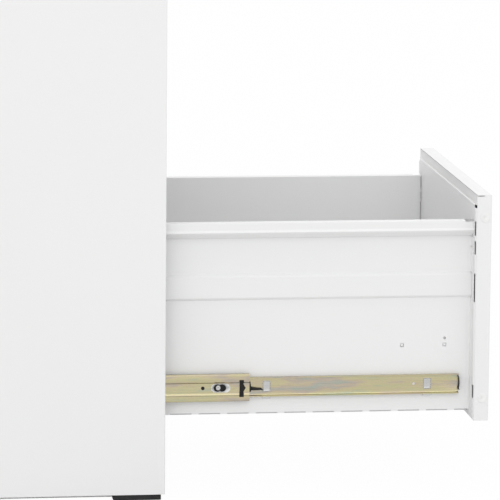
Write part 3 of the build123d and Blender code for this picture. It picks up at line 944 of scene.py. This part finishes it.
@dataclass
class DrawerWall(Assembly):
    """Drawer side: pressed rib, hollow rim for hanging files, tabs along the bottom, turned front end."""

    inner_x: float = 195.5
    sheet: float = 0.8
    bend: float = 0.9
    bottom: float = 10.0
    top: float = 265.0
    length: float = 560.0
    end_gap: float = 0.25
    rib: tuple[float, ...] = (161.5, 164.8, 192.2, 195.0)
    rib_depth: float = 4.0
    rim_width: float = 13.5
    rim_bead: float = 2.4
    rim_bead_drop: float = 12.6
    rim_bead_half: Flat = (2.6, 2.2)
    rim_foot: float = 243.2
    rim_lip: float = 1.8
    rim_opening: float = 11.5
    first_notch: float = -8.6
    notch: float = 28.5
    notch_height: float = 1.5
    tab_pitch: float = 37.7
    tab_gap: Flat = (227.6, 230.4)
    turn: float = 3.0
    through: Flat = (180.0, 210.0)
    square: float = 5.0
    square_backs: Flat = (34.3, 90.9)
    square_z: float = 97.9
    hole_z: float = 106.8
    hole_radius: float = 2.0
    insert: float = 3.2
    insert_z: float = 98.0
    hook: tuple[Flat, ...] = ((-0.1, 6.2), (1.2, 6.2), (1.2, -5.0), (2.5, -6.3), (-0.1, -6.3))
    hook_play: float = 0.7
    ledge_reach: float = 2.1
    ledge_half: float = 5.5
    ledge_levels: Flat = (-16.2, -13.3)
    # Strips under the floor, whose grey is painted shade seen through the wall's notches
    shade_keel_x: float = 188.0
    shade_keel_levels: Flat = (-1.6, 1.3)
    shade_keel_gaps: Flat = (1.0, 25.0)

    def section(self) -> list[Flat]:
        """Section of the right-hand wall."""
        inner, top, rim = self.inner_x, self.top, self.inner_x + self.rim_width
        low, low_out, high_out, high = self.rib
        bead_z = top - self.rim_bead_drop
        above, below = self.rim_bead_half
        return [(inner, self.bottom), (inner, low), (inner + self.rib_depth, low_out),
                (inner + self.rib_depth, high_out), (inner, high), (inner, top), (rim, top),
                (rim, bead_z + above), (rim + self.rim_bead, bead_z), (rim, bead_z - below),
                (inner + self.rim_lip, self.rim_foot)]

    def cutters(self, y: float) -> list[Piece]:
        """Bottom notches and the holes near the front.

        Args:
            y: The wall's front end.

        Returns:
            The cutters.
        """
        near, far = self.through
        cutters = []
        start = y + self.first_notch
        while start + self.notch < y + self.length:
            cutters.append(block("notch", (near, start, self.bottom - 1),
                                 (far, start + self.notch, self.bottom + self.notch_height)))
            start += self.tab_pitch
        half = self.square / 2
        for back in self.square_backs:
            cutters.append(block("square_hole", (near, y + back - half, self.square_z - half),
                                 (far, y + back + half, self.square_z + half)))
        place = (self.inner_x, y + self.square_backs[0], self.hole_z)
        cutters.append(rod("round_hole", place, "X", self.hole_radius, 20))
        return cutters

    def turned_levels(self) -> list[tuple[float, float, float]]:
        """Bottom, top and width of each length of the wall's front end that is turned outwards."""
        return [(self.bottom + self.notch_height, self.rib[0] - 1.0, self.rim_width),
                (self.rib[3] + 1.0, self.tab_gap[0], self.rim_width),
                (self.tab_gap[1], self.rim_foot - 1.5, self.rim_width),
                (self.rim_foot + self.rim_lip, self.top - 2.0, self.turn + 0.9)]

    def joint(self, y: float) -> float:
        """Where the turned front end meets the wall."""
        return y + self.turn + self.sheet

    def front_end(self, y: float) -> Piece:
        """Front end of the wall, turned outwards against the front except at its rib and two tabs.

        Args:
            y: The wall's front end.

        Returns:
            The end.
        """
        inner, face = self.inner_x, y + 0.1
        return join(*[
            fold("turned_end", [(inner, self.joint(y)), (inner, face), (inner + width, face)], "Z",
                 low, high, -self.sheet, self.turn)
            for low, high, width in self.turned_levels()])

    def right(self) -> Piece:
        """Right-hand wall of a closed drawer whose front stands on z = 0."""
        y = self.levels.wall_front()
        outer, rim = self.inner_x + self.sheet, self.inner_x + self.rim_width
        wall = fold("drawer_wall", self.section(), "Y", y + self.length, y + self.end_gap, self.sheet,
                    self.bend)
        cut(wall, *self.cutters(y))
        trims = [block("trim", (outer - 3, y, low if k else self.bottom - 1),
                       (outer + 0.3, self.joint(y), high))
                 for k, (low, high, _) in enumerate(self.turned_levels())]
        trims.append(block("rim_opening", (self.inner_x + 1.2, y - 1, self.top - 1.7),
                           (rim + 1, y + self.rim_opening, self.top + 1)))
        cut(wall, *trims)
        return smooth(join(wall, self.front_end(y)))

    def window_middles(self) -> list[float]:
        """Middle of each window of the slide's inner member, along Y."""
        first = self.levels.slide_front() + self.levels.window_length / 2
        return [first + back for back in self.levels.windows]

    def hooks(self) -> Piece:
        """Steel hooks that hold the slide's inner member, one in each window."""
        x, z = self.inner_x + self.sheet, self.levels.slide_z
        half = self.levels.window_length / 2 - self.hook_play
        section = [(x + out, z + up) for out, up in self.hook]
        return both(*[
            ease(plate("hook", section, "Y", middle - half, middle + half), 0.3, 3)
            for middle in self.window_middles()])

    def ledges(self) -> Piece:
        """Steel ledges of the wall, one under each window."""
        x, z, half = self.inner_x + self.sheet, self.levels.slide_z, self.ledge_half
        low, high = self.ledge_levels
        return both(*[
            ease(block("ledge", (x - 0.1, middle - half, z + low),
                       (x + self.ledge_reach, middle + half, z + high)), 0.5, 3)
            for middle in self.window_middles()])

    def painted_shade_keels(self) -> Piece:
        """Strips under the drawer's floor, which show in the notches of each wall; their grey is painted
        shade under the drawer.
        """
        y, (low, high), (front, back) = self.levels.wall_front(), self.shade_keel_levels, self.shade_keel_gaps
        return both(ease(block(
            "shade_keel", (self.shade_keel_x, y + front, self.bottom + low),
            (self.shade_keel_x + self.sheet, y + self.length - back, self.bottom + high)), 0.25))

    def inserts(self) -> Piece:
        """White plastic inserts in the square holes."""
        y, half = self.levels.wall_front(), self.insert / 2
        return both(*[
            ease(block("insert", (self.inner_x - 1.5, y + back - half, self.insert_z - half),
                       (self.inner_x + 0.3, y + back + half, self.insert_z + half)), 0.5)
            for back in self.square_backs])

    def build(self) -> None:
        """Builds the walls of every drawer, with their fittings."""
        right = self.right()
        parts = [
            ("wall_left", smooth(mirrored(right)), Slot.DRAWER, "side_left"),
            ("wall_right", right, Slot.DRAWER, "side_right"),
            ("wall_hooks", self.hooks(), Slot.CAGE, ""),
            ("wall_ledges", self.ledges(), Slot.CAGE, ""),
            ("wall_inserts", self.inserts(), Slot.PLUG, ""),
            # The floor strips wear the pull's grey as painted shade under the drawer
            ("floor_painted_shade_keels", self.painted_shade_keels(), Slot.PULL, ""),
        ]
        for name, model, slot, node in parts:
            self.shop.fit(model, name, Ride.DRAWER, slot, node)


@dataclass
class DrawerFront(Assembly):
    """Drawer front: folded outer pan with the pull's mouth, inner pan and domed plugs."""

    width: float = 440.0
    height: float = 300.0
    skin_depth: float = 19.5
    skin_round: float = 1.6
    sheet: float = 1.0
    lip: float = 12.9
    liner_sheet: float = 0.8
    liner_start: float = 6.0
    liner_round: float = 1.85
    play: float = 0.1
    pull_drop: float = 62.0
    mouth: Flat = (150.0, 36.0)
    mouth_corner: float = 5.0
    plug: Head = (6.25, 0.7, 0.5, 0.8)
    plug_back: float = 9.0
    plug_edge: float = 30.0
    seam_length: float = 9.6
    seam_depth: float = 1.4
    seam_drops: Flat = (1.9, 0.95)
    slots: tuple[Flat, ...] = ((30.4, 47.5), (158.0, 196.0), (221.0, 238.6), (246.0, 265.0))
    slot_size: Flat = (1.1, 5.9)
    top_slot_drops: Flat = (4.4, 0.3)
    top_slot_size: Flat = (2.1, 9.0)

    def skin(self) -> Piece:
        """Outer pan, open at the back, of a front that stands on z = 0."""
        half, y, sheet, top = self.width / 2, self.levels.front_y, self.sheet, self.height
        back = y + self.skin_depth
        pan = block("front_pan", (-half, y, 0), (half, back, top))
        bevel(pan, at("Y", y), self.skin_round)
        cut(pan, block("inside", (sheet - half, y + sheet, sheet),
                       (half - sheet, back + 1, top - sheet)))
        z, reach, rise = top - self.pull_drop, self.mouth[0] / 2, self.mouth[1] / 2
        mouth = block("mouth", (-reach, y - 2, z - rise), (reach, y + 4, z + rise))
        cut(pan, soften(mouth, "Y", self.mouth_corner))
        low, high = self.seam_drops
        cut(pan, both(block(
            "seam", (half - self.seam_depth, back - self.seam_length, top - low),
            (half + 1, back + 1, top - high))))
        lip = block("lip", (sheet - half, back - sheet, top - self.lip),
                    (half - sheet, back, top - sheet / 2))
        return ease(join(pan, lip), 0.35)

    def liner(self) -> Piece:
        """Inner pan, set into the outer one from behind and standing proud of it."""
        half = self.width / 2 - self.sheet - self.play
        top = self.height - self.lip - self.play
        bottom = self.sheet + self.play
        y, back, sheet = self.levels.front_y, self.levels.wall_front(), self.liner_sheet
        pan = block("liner_pan", (-half, y + self.liner_start, bottom), (half, back, top))
        bevel(pan, at("Y", back), self.liner_round, 5)
        cut(pan, block("inside", (sheet - half, y, bottom + sheet),
                       (half - sheet, back - sheet, top - sheet)))
        openings = [(low, high, *self.slot_size) for low, high in self.slots]
        openings.append((top - self.top_slot_drops[0], top - self.top_slot_drops[1], *self.top_slot_size))
        cut(pan, both(*[
            block("slot", (half - width, back - depth, low), (half + 1, back + 0.5, high))
            for low, high, depth, width in openings]))
        return smooth(pan)

    def plugs(self) -> Piece:
        """Four domed plugs in the flanges."""
        x, y = self.width / 2 - 0.05, self.levels.front_y + self.plug_back
        return both(*[
            button("plug", (x, y, z), "X", *self.plug)
            for z in (self.plug_edge, self.height - self.plug_edge)])

    def build(self) -> None:
        """Builds the fronts of every drawer."""
        for part, model, slot in (("front_skin", self.skin(), Slot.DRAWER),
                                  ("front_liner", self.liner(), Slot.DRAWER),
                                  ("front_plugs", self.plugs(), Slot.PLUG)):
            self.shop.fit(model, f"{part}_folded", Ride.DRAWER, slot, part)


@dataclass(frozen=True)
class CageSize:
    """Ball cage: its setback from a closed slide's front end, its channel and its balls."""

    start: float
    length: float
    web: float
    edge: float
    ball_x: float
    ball_z: float
    ball_radius: float


@dataclass
class TelescopicSlide(Assembly):
    """Ball-bearing slide at level 0: outer, intermediate and inner members with their small parts."""

    sheet: float = 1.2
    outer_web: float = 209.0
    outer_top: float = 22.75
    outer_lip: tuple[Flat, ...] = ((199.8, -1.85), (200.8, 0.0))
    outer_bend: float = 1.3
    outer_holes: tuple[float, ...] = (100.0, 200.0, 330.0, 430.0)
    outer_hole: float = 2.6
    screw_backs: tuple[float, ...] = (60.0, 260.0, 470.0)
    screw: Head = (3.6, -0.35, 0.15, 1.5)
    stud: Head = (2.35, 1.0, 0.3, 1.0)
    rivet_head: Head = (3.2, 1.0, 0.7, 0.9)
    pin: Head = (1.5, 4.0, 0.4)
    web_x: float = 206.2
    edge: float = 199.9
    top: float = 18.0
    groove: float = 7.0
    groove_depth: float = 1.0
    corner: float = 0.8
    fold_bend: float = 0.35
    recess_back: float = 37.8
    recess: Flat = (25.6, 12.0)
    bumper_back: float = 39.0
    bumper_z: float = 0.2
    lobe_x: Flat = (205.6, 2.2)
    lobe_radius: float = 4.65
    lobe_reach: float = 3.35
    pad_x: Flat = (203.9, 1.2)
    pad_play: float = 0.1
    rivet_back: float = 41.4
    rivet_xz: Flat = (206.4, 0.6)
    hole_back: float = 61.4
    stud_hole: float = 2.4
    clip_back: float = 7.6
    clip_length: float = 5.8
    clip_window: Flat = (-11.5, 10.0)
    clip_x: Flat = (204.2, 207.4)
    inner_web: float = 196.3
    inner_edge: float = 202.6
    inner_top: float = 13.0
    inner_bend: float = 2.2
    window_half: float = 7.4
    front_hole: Flat = (59.2, 2.0)
    # Black strip across the inner member's front end, painted shade for its shaded edge
    shaded_edge_x: Flat = (197.6, 201.6)
    shaded_edge_sheet: float = 1.1
    lever_x: Flat = (197.7, 201.1)
    pin_back: float = 287.0
    bore_radius: float = 1.6
    outer_cage: CageSize = CageSize(142.0, 260.0, 207.3, 201.2, 203.75, 19.8, 1.7)
    inner_cage: CageSize = CageSize(145.0, 255.0, 203.7, 198.6, 201.2, 14.9, 1.85)
    cage_sheet: float = 0.5
    cage_bend: float = 0.7
    cage_end: float = 8.0
    ball_pitch: float = 7.6
    ball_count: int = 8

    def member(self, name: str, path: Sequence[Flat], sheet: float, bend: float) -> Piece:
        """One right-hand member of a closed slide."""
        y = self.levels.slide_front()
        return fold(name, path, "Y", y + self.levels.slide_length, y, sheet, bend)

    def window(self, start: float, length: float, low: float, high: float) -> Piece:
        """Cutter for a window, measured back from the member's front end."""
        y = self.levels.slide_front() + start
        return soften(block("window", (190, y, low), (215, y + length, high)), "X", 0.8)

    def hole(self, back: float, radius: float) -> Piece:
        """Cutter for a round hole on the centre line."""
        return rod("hole", (200, self.levels.slide_front() + back, 0), "X", radius, 30, 24)

    def oval(self, back: float, length: float, height: float, x: float, depth: float) -> Piece:
        """Bar with round ends on the centre line: a cutter, or the start of a pad.

        Args:
            back: Its middle, measured back from the slide's front end.
            length: Its length.
            height: Its height.
            x: Where it starts across the cabinet.
            depth: Its depth.

        Returns:
            The bar.
        """
        y = self.levels.slide_front() + back
        bar = block("oval", (x, y - length / 2, -height / 2), (x + depth, y + length / 2, height / 2))
        return soften(bar, "X", height / 2 - 0.02)

    def outer(self) -> Piece:
        """Right-hand outer member."""
        top, x = self.outer_top, self.outer_web
        half = [(edge, top + drop) for edge, drop in self.outer_lip] + [(x, top)]
        path = half + [(a, -b) for a, b in reversed(half)]
        member = self.member("outer", path, self.sheet, self.outer_bend)
        cut(member, *[self.hole(back, self.outer_hole) for back in self.outer_holes])
        return smooth(member)

    def screws(self) -> Piece:
        """Right-hand flat screws that hold the outer member to its bracket."""
        x, y = self.outer_web - self.sheet, self.levels.slide_front()
        return join(*[
            button("screw", (x, y + back, 0), "X", *self.screw) for back in self.screw_backs])

    def intermediate(self) -> Piece:
        """Right-hand intermediate member."""
        x, top, groove, corner, edge = self.web_x, self.top, self.groove, self.corner, self.edge
        bed = x - self.groove_depth
        path = [(edge, top), (x - corner, top), (x, top - corner), (x, groove + 1.3), (bed, groove),
                (bed, -groove), (x, -groove - 2.4), (x, corner - top), (x - corner, -top), (edge, -top)]
        member = self.member("intermediate", path, self.sheet, self.fold_bend)
        cut(member, self.crease(bed, groove - 0.4, 1.0, 0.36),
            self.crease(x, -groove - 3.2, 0.6, 0.16))
        cut(member, self.window(self.clip_back, self.clip_length, *self.clip_window),
            self.oval(self.recess_back, *self.recess, 190, 30), self.hole(self.hole_back, self.stud_hole))
        return smooth(member)

    def crease(self, x: float, z: float, depth: float, half: float) -> Piece:
        """Cutter for a fine crease that the rolls leave along the intermediate member.

        Args:
            x: Where the creased face stands.
            z: The crease's level.
            depth: Its depth.
            half: Half its width.

        Returns:
            The cutter.
        """
        y = self.levels.slide_front()
        section = [(x - depth, z), (x + depth, z - 2 * half), (x + depth, z + 2 * half)]
        return plate("crease", section, "Y", y - 1.0, y + self.levels.slide_length + 1.0)

    def clip(self) -> Piece:
        """Right-hand stop clip, with a nose towards the front, and its stud behind."""
        y, back = self.levels.slide_front() + self.clip_back, self.clip_length
        outline = [(0, 10.4), (back, 10.4), (back, 7.2), (back - 0.8, 6.6), (back - 0.8, -7.0),
                   (back, -7.6), (back, -12.0), (0, -12.0), (0, -7.0), (0.9, -5.4), (-0.4, -3.6),
                   (-1.3, -1.4), (-2.8, 0.0), (-1.3, 1.4), (-0.4, 3.6), (0.9, 5.2), (0, 7.0)]
        clip = plate("clip", [(y + a, b) for a, b in outline], "X", *self.clip_x)
        place = (204.05, self.levels.slide_front() + self.hole_back, 0)
        return join(ease(clip, 0.35), button("stud", place, "X", *self.stud))

    def bumper(self) -> Piece:
        """Right-hand bumper: two round lobes, the front one with a ring round its middle."""
        y, z, reach = self.levels.slide_front() + self.bumper_back, self.bumper_z, self.lobe_reach
        x, depth = self.lobe_x
        bumper = fuse(*[
            rod("lobe", (x, y + way * reach, z), "X", self.lobe_radius, depth, 40) for way in (-1, 1)])
        ring, core = [rod(name, (x + depth / 2, y - reach, z), "X", radius, length)
                      for name, radius, length in (("ring", 3.1, 0.8), ("core", 2.0, 2.0))]
        cut(bumper, cut(ring, core))
        return ease(bumper, 0.3)

    def pad(self) -> Piece:
        """Right-hand nylon pad under the bumper, dished towards its middle."""
        length, height = self.recess
        pad = self.oval(self.recess_back, length - self.pad_play, height - self.pad_play, *self.pad_x)
        with editing(pad, "FACE", lambda f: f.normal.x > 0.9):
            bpy.ops.mesh.inset(thickness=0.9 * MM)
            bpy.ops.transform.translate(value=(-0.5 * MM, 0, 0))
        return smooth(pad)

    def rivet(self) -> Piece:
        """Right-hand rivet through the bumper."""
        x, z = self.rivet_xz
        place = (x, self.levels.slide_front() + self.rivet_back, z)
        return button("rivet", place, "X", *self.rivet_head)

    def inner(self) -> Piece:
        """Right-hand inner member, with the lever's pin."""
        x, edge, top, half = self.inner_web, self.inner_edge, self.inner_top, self.window_half
        path = [(edge, top), (x, top), (x, -top), (edge, -top)]
        member = self.member("inner", path, -self.sheet, self.inner_bend)
        cut(member, self.hole(*self.front_hole), *[
            self.window(back, self.levels.window_length, -half, half) for back in self.levels.windows])
        place = (197.4, self.levels.slide_front() + self.pin_back, 0)
        return join(smooth(member), button("pin", place, "X", *self.pin))

    def shaded_edge_strip(self) -> Piece:
        """Right-hand bowed black strip across the inner member's front end, painted shade for the member's
        shaded front edge.
        """
        y = self.levels.slide_front()
        bow = [(0.6, 11.6), (-0.5, 9.0), (-1.2, 5.0), (-1.4, 1.0), (-1.0, -3.0), (-0.5, -6.0), (-1.5, -8.2)]
        path = [(y + step, z) for step, z in bow]
        return ease(fold("shaded_edge_strip", path, "X", *self.shaded_edge_x, -self.shaded_edge_sheet), 0.25)

    def lever(self) -> Piece:
        """Right-hand release lever: finger tail in front, T head, and the latch behind its pin."""
        y = self.levels.slide_front() + self.pin_back
        outline = [(-27.3, -3.6), (-26.6, -5.2), (-25.2, -4.3), (-19.0, -4.7), (-11.9, -4.7),
                   (-11.2, -6.6), (-9.6, -6.6), (-9.2, -4.2), (5, -4.2), (30, -3.0), (34, 1.5),
                   (31, 7.0), (26, 6.0), (24, 1.5), (5, 4.2), (-9.2, 3.4), (-9.8, 7.4), (-10.6, 7.4),
                   (-11.6, 2.0), (-12.0, -0.2), (-19.0, -1.7), (-25.0, -2.1)]
        lever = plate("lever", [(y + a, b) for a, b in outline], "X", *self.lever_x)
        bore = rod("bore", (sum(self.lever_x) / 2, y, 0), "X", self.bore_radius, 8, 24)
        return ease(cut(lever, bore), 0.4)

    def cage(self, size: CageSize) -> Piece:
        """Right-hand ball cage: a thin channel with two groups of balls in each row.

        Args:
            size: The cage's sizes.

        Returns:
            The cage.
        """
        x, z, radius, web, length = size.ball_x, size.ball_z, size.ball_radius, size.web, size.length
        y = self.levels.slide_front() + size.start
        top = z + self.cage_sheet / 2
        path = [(size.edge, top), (web, top), (web, -top), (size.edge, -top)]
        channel = fold("cage", path, "Y", y + length, y, self.cage_sheet, self.cage_bend)
        end = self.cage_end
        backs = [end + self.ball_pitch * k for k in range(self.ball_count)]
        places = [(x, y + back, row) for back in backs + [length - b for b in backs] for row in (-z, z)]
        cut(channel, *[rod("pocket", place, "Z", radius + 0.1, 2.0, 20) for place in places])
        part = (length - 2 * end) / 3
        reliefs = [block("relief", (web - 3, y + 12 + part * k, 6 - z),
                         (web + 3, y + 4 + part * (k + 1), z - 6)) for k in range(3)]
        cut(channel, *[soften(relief, "X", 3.0) for relief in reliefs])
        smooth(channel)
        balls = join(*[ball("ball", place, radius) for place in places])
        return join(channel, smooth(balls, 80))

    def build(self) -> None:
        """Builds the slides of every drawer, and their levers, which turn one by one."""
        level = self.levels.slide_z
        parts = [
            ("slide_outers", self.outer(), Ride.STILL, Slot.ZINC, True),
            ("slide_screws", self.screws(), Ride.STILL, Slot.CAGE, False),
            ("slide_intermediates", self.intermediate(), Ride.MIDDLE, Slot.ZINC, True),
            ("slide_stops", join(self.clip(), self.bumper()), Ride.MIDDLE, Slot.BLACK, True),
            ("slide_pads", self.pad(), Ride.MIDDLE, Slot.PLUG, False),
            ("slide_rivets", self.rivet(), Ride.MIDDLE, Slot.CAGE, False),
            ("slide_inners", self.inner(), Ride.DRAWER, Slot.ZINC, True),
            # The black strip is painted shade at the inner member's front edge
            ("slide_shaded_edge_strips", self.shaded_edge_strip(), Ride.DRAWER, Slot.BLACK, False),
            ("outer_cages", self.cage(self.outer_cage), Ride.OUTER_CAGE, Slot.CAGE, True),
            ("inner_cages", self.cage(self.inner_cage), Ride.INNER_CAGE, Slot.CAGE, True),
        ]
        for part, right, ride, slot, stands_in in parts:
            node = part if stands_in else ""
            self.shop.fit(both(right), f"{part}_fine", ride, slot, node, level)
        right = self.lever()
        left = smooth(mirrored(right))
        for node, model, ride in (("lever_right", right, Ride.LEVER_RIGHT),
                                  ("lever_left", left, Ride.LEVER_LEFT)):
            self.shop.fit(model, f"{node}_moulded", ride, Slot.BLACK, node, level)


# Carcass


@dataclass
class Carcass(Assembly):
    """Lock, feet, base rails and back rivets of the cabinet. Its panels keep the frame's shape."""

    lock_x: float = 190.0
    lock_z: float = 1015.0
    barrel: Flat = (7.0, 22.0)
    rosette: Head = (8.6, -1.8, 0.9)
    plug: Flat = (4.5, 27.2)
    bore_radius: float = 4.56
    keyway: Flat = (0.8, 3.4)
    key_throat: Flat = (1.4, 1.5)
    back_y: float = 524.0
    rivet_head: Head = (3.2, 0.8, 0.6)
    rivet_x: float = 221.0
    rivet_heights: tuple[float, ...] = (60.0, 244.0, 428.0, 612.0, 796.0, 980.0)
    rail: Flat = (208.0, 209.2)
    rail_bottom: float = 1.6
    rail_gap: float = 68.0
    foot_height: float = 8.0
    foot_plan: Flat = (44.0, 62.5)
    foot_inset: Flat = (4.0, 4.6)
    foot_corner: float = 2.0
    foot_wall: float = 4.0
    peg: float = 4.0
    half_width: float = 230.0

    def lock_barrel(self) -> Piece:
        """Lock barrel with its turned rosette."""
        x, y, z = self.lock_x, self.levels.front_y, self.lock_z
        radius, length = self.barrel
        barrel = rod("barrel", (x, y + length / 2, z), "Y", radius, length, 48)
        fuse(barrel, button("rosette", (x, y + 0.3, z), "Y", *self.rosette))
        cut(barrel, rod("bore", (x, y + 10, z), "Y", self.bore_radius, 40, 48))
        return smooth(barrel)

    def lock_plug(self) -> Piece:
        """Turning plug with its keyway."""
        x, y, z = self.lock_x, self.levels.front_y, self.lock_z
        wide, high = self.keyway
        plug = rod("plug", (x, y + 12.4, z), "Y", *self.plug, 48)
        cut(plug, block("keyway", (x - wide, y - 3, z - high), (x + wide, y + 12, z + high)))
        rise, radius = self.key_throat
        cut(plug, rod("key_throat", (x, y - 1, z + rise), "Y", radius, 12, 24))
        return ease(plug, 0.2)

    def rivets(self) -> Piece:
        """Rivets that hold the back panel."""
        return both(*[
            button("rivet", (self.rivet_x, self.back_y, z), "Y", *self.rivet_head)
            for z in self.rivet_heights])

    def rails(self) -> Piece:
        """Rails under the base from foot to foot, set back from each side."""
        front, back = self.levels.front_y + self.rail_gap, self.back_y - self.rail_gap
        rail = block("rail", (self.rail[0], front, self.rail_bottom),
                     (self.rail[1], back, self.foot_height))
        return both(ease(rail, 0.3))

    def foot(self, y: float) -> Piece:
        """One right-hand moulded foot, hollow below, with a peg that stands in the base.

        Args:
            y: The foot's front.

        Returns:
            The foot.
        """
        (reach, run), wall, top, peg = self.foot_plan, self.foot_wall, self.foot_height, self.peg
        x = self.half_width - self.foot_inset[0] - reach
        foot = block("foot", (x, y, 0), (x + reach, y + run, top))
        soften(foot, "Z", self.foot_corner)
        hollow = block("hollow", (x + wall, y + wall, -1), (x + reach - wall, y + run - wall, wall))
        cut(foot, soften(hollow, "Z", self.foot_corner))
        x, y = x + reach / 2, y + run / 2
        pin = block("peg", (x - peg, y - peg, top - 0.1), (x + peg, y + peg, top + peg))
        return join(ease(foot, 0.4), ease(pin, 0.5))

    def feet(self) -> Piece:
        """All four feet."""
        inset = self.foot_inset[1]
        places = (self.levels.front_y + inset, self.back_y - inset - self.foot_plan[1])
        return both(*[self.foot(y) for y in places])

    def build(self) -> None:
        """Builds the lock, the rivets, the rails and the feet."""
        parts = [
            ("barrel", self.lock_barrel(), "cabinet", Slot.LOCK, ["lock_barrel"]),
            ("plug", self.lock_plug(), "lock_plug", Slot.LOCK, ["lock_plug"]),
            ("back_rivets", self.rivets(), "cabinet", Slot.CAGE, []),
            ("base_rails", self.rails(), "cabinet", Slot.CASE, []),
            ("moulded_feet", self.feet(), "cabinet", Slot.FOOT, ["feet"]),
        ]
        for name, piece, body, slot, nodes in parts:
            piece.name = name
            self.shop.deliver(piece, body, slot, *nodes)


# Studio


@dataclass(frozen=True)
class SoftBox:
    """Soft box: its name, where it hangs, what it points at, its size and its power in watts."""

    name: str
    place: Point
    aim: Point
    size: Flat
    power: float

    def hang(self) -> None:
        """Hangs the soft box in the scene."""
        data = bpy.data.lights.new(self.name, "AREA")
        data.shape = "RECTANGLE"
        data.size, data.size_y = self.size
        data.energy = self.power
        lamp = bpy.data.objects.new(self.name, data)
        bpy.context.scene.collection.objects.link(lamp)
        lamp.location = self.place
        lamp.rotation_euler = (Vector(self.aim) - Vector(self.place)).to_track_quat("-Z", "Y").to_euler()


@dataclass
class Studio:
    """Pale floor, plain soft light and the camera at the photograph's angle. Sizes in metres."""

    station: Point = (-5.2825, 0.4526, 1.1784)
    yaw: float = -0.1294
    pitch: float = -0.1651
    roll: float = 0.0088
    focal_pixels: float = 3995.3
    picture_width: float = 500.0
    view_range: Flat = (0.05, 200.0)
    floor_size: float = 60.0
    floor_glow: float = 0.978
    floor_gleam: float = 0.3
    floor_tone: float = 0.8
    sky_light: float = 0.94
    soft_boxes: tuple[SoftBox, ...] = (
        SoftBox("side_box", (-3.4, -0.1, 2.6), (0, 0, 0.3), (3.6, 1.6), 18.0),
        SoftBox("top_box", (-0.4, 0.0, 9.0), (0, 0, 0), (7.0, 7.0), 95.0))

    def camera(self) -> None:
        """Makes the scene's camera."""
        data = bpy.data.cameras.new("camera")
        camera = bpy.data.objects.new("camera", data)
        bpy.context.scene.collection.objects.link(camera)
        level = math.cos(self.pitch)
        ahead = Vector((math.cos(self.yaw) * level, math.sin(self.yaw) * level, math.sin(self.pitch)))
        right = ahead.cross(Vector((0, 0, 1))).normalized()
        up = right.cross(ahead)
        turn = Matrix.Rotation(-self.roll, 3, ahead)
        axes = Matrix((turn @ right, turn @ up, -ahead)).transposed()
        camera.matrix_world = Matrix.Translation(self.station) @ axes.to_4x4()
        data.lens = data.sensor_width * self.focal_pixels / self.picture_width
        data.clip_start, data.clip_end = self.view_range
        bpy.context.scene.camera = camera

    @staticmethod
    def rays(nodes: Nodes) -> tuple[Socket, Socket]:
        """Masks of the camera's own rays, and of those that metal or glass sends on.

        Args:
            nodes: The floor's or the sky's nodes.

        Returns:
            Both masks.
        """
        path = nodes.add("ShaderNodeLightPath")
        sent_on = nodes.calculate(
            "MAXIMUM", path.outputs["Is Glossy Ray"], path.outputs["Is Transmission Ray"])
        return path.outputs["Is Camera Ray"], sent_on

    def floor(self) -> None:
        """Lays the white floor, which keeps a faint shadow of the cabinet."""
        clear()
        bpy.ops.mesh.primitive_plane_add(size=self.floor_size)
        floor = bpy.context.object
        floor.name = "studio_floor"
        material = bpy.data.materials.new("studio_white")
        material.use_nodes = True
        nodes = Nodes(material.node_tree)
        material.node_tree.nodes.clear()
        camera, sent_on = self.rays(nodes)
        plain = nodes.add("ShaderNodeBsdfDiffuse", {}, {"Color": grey(self.floor_tone)})
        glow = nodes.add("ShaderNodeEmission", {}, {"Color": WHITE, "Strength": 1.0})
        gleam = nodes.calculate("MULTIPLY", sent_on, self.floor_gleam)
        share = nodes.calculate("MULTIPLY_ADD", camera, self.floor_glow, gleam)
        nodes.add("ShaderNodeOutputMaterial", {}, {0: nodes.mix(share, plain, glow)})
        floor.data.materials.append(material)

    def sky(self) -> None:
        """Lights the room evenly, white behind the object for the camera and in reflections."""
        world = bpy.data.worlds.new("studio_sky")
        bpy.context.scene.world = world
        world.use_nodes = True
        nodes = Nodes(world.node_tree)
        world.node_tree.nodes.clear()
        camera, sent_on = self.rays(nodes)
        soft = nodes.add("ShaderNodeBackground", {}, {"Color": WHITE, "Strength": self.sky_light})
        white = nodes.add("ShaderNodeBackground", {}, {"Color": WHITE, "Strength": 1.0})
        share = nodes.calculate("MAXIMUM", camera, sent_on)
        nodes.add("ShaderNodeOutputWorld", {}, {0: nodes.mix(share, soft, white)})

    def build(self) -> None:
        """Builds the whole studio."""
        self.camera()
        self.floor()
        self.sky()
        for soft_box in self.soft_boxes:
            soft_box.hang()
        bpy.context.scene.view_settings.view_transform = "Standard"


def main() -> None:
    """Builds the studio and every piece, in order."""
    logging.basicConfig(level=logging.INFO, format="%(message)s")
    Studio().build()
    levels = Levels()
    shop = Shop(Finishes(), levels)
    for assembly in (DrawerWall, DrawerFront, TelescopicSlide, Carcass):
        assembly(levels, shop).build()
    shop.dress_frame()


if __name__ == "__main__":
    main()
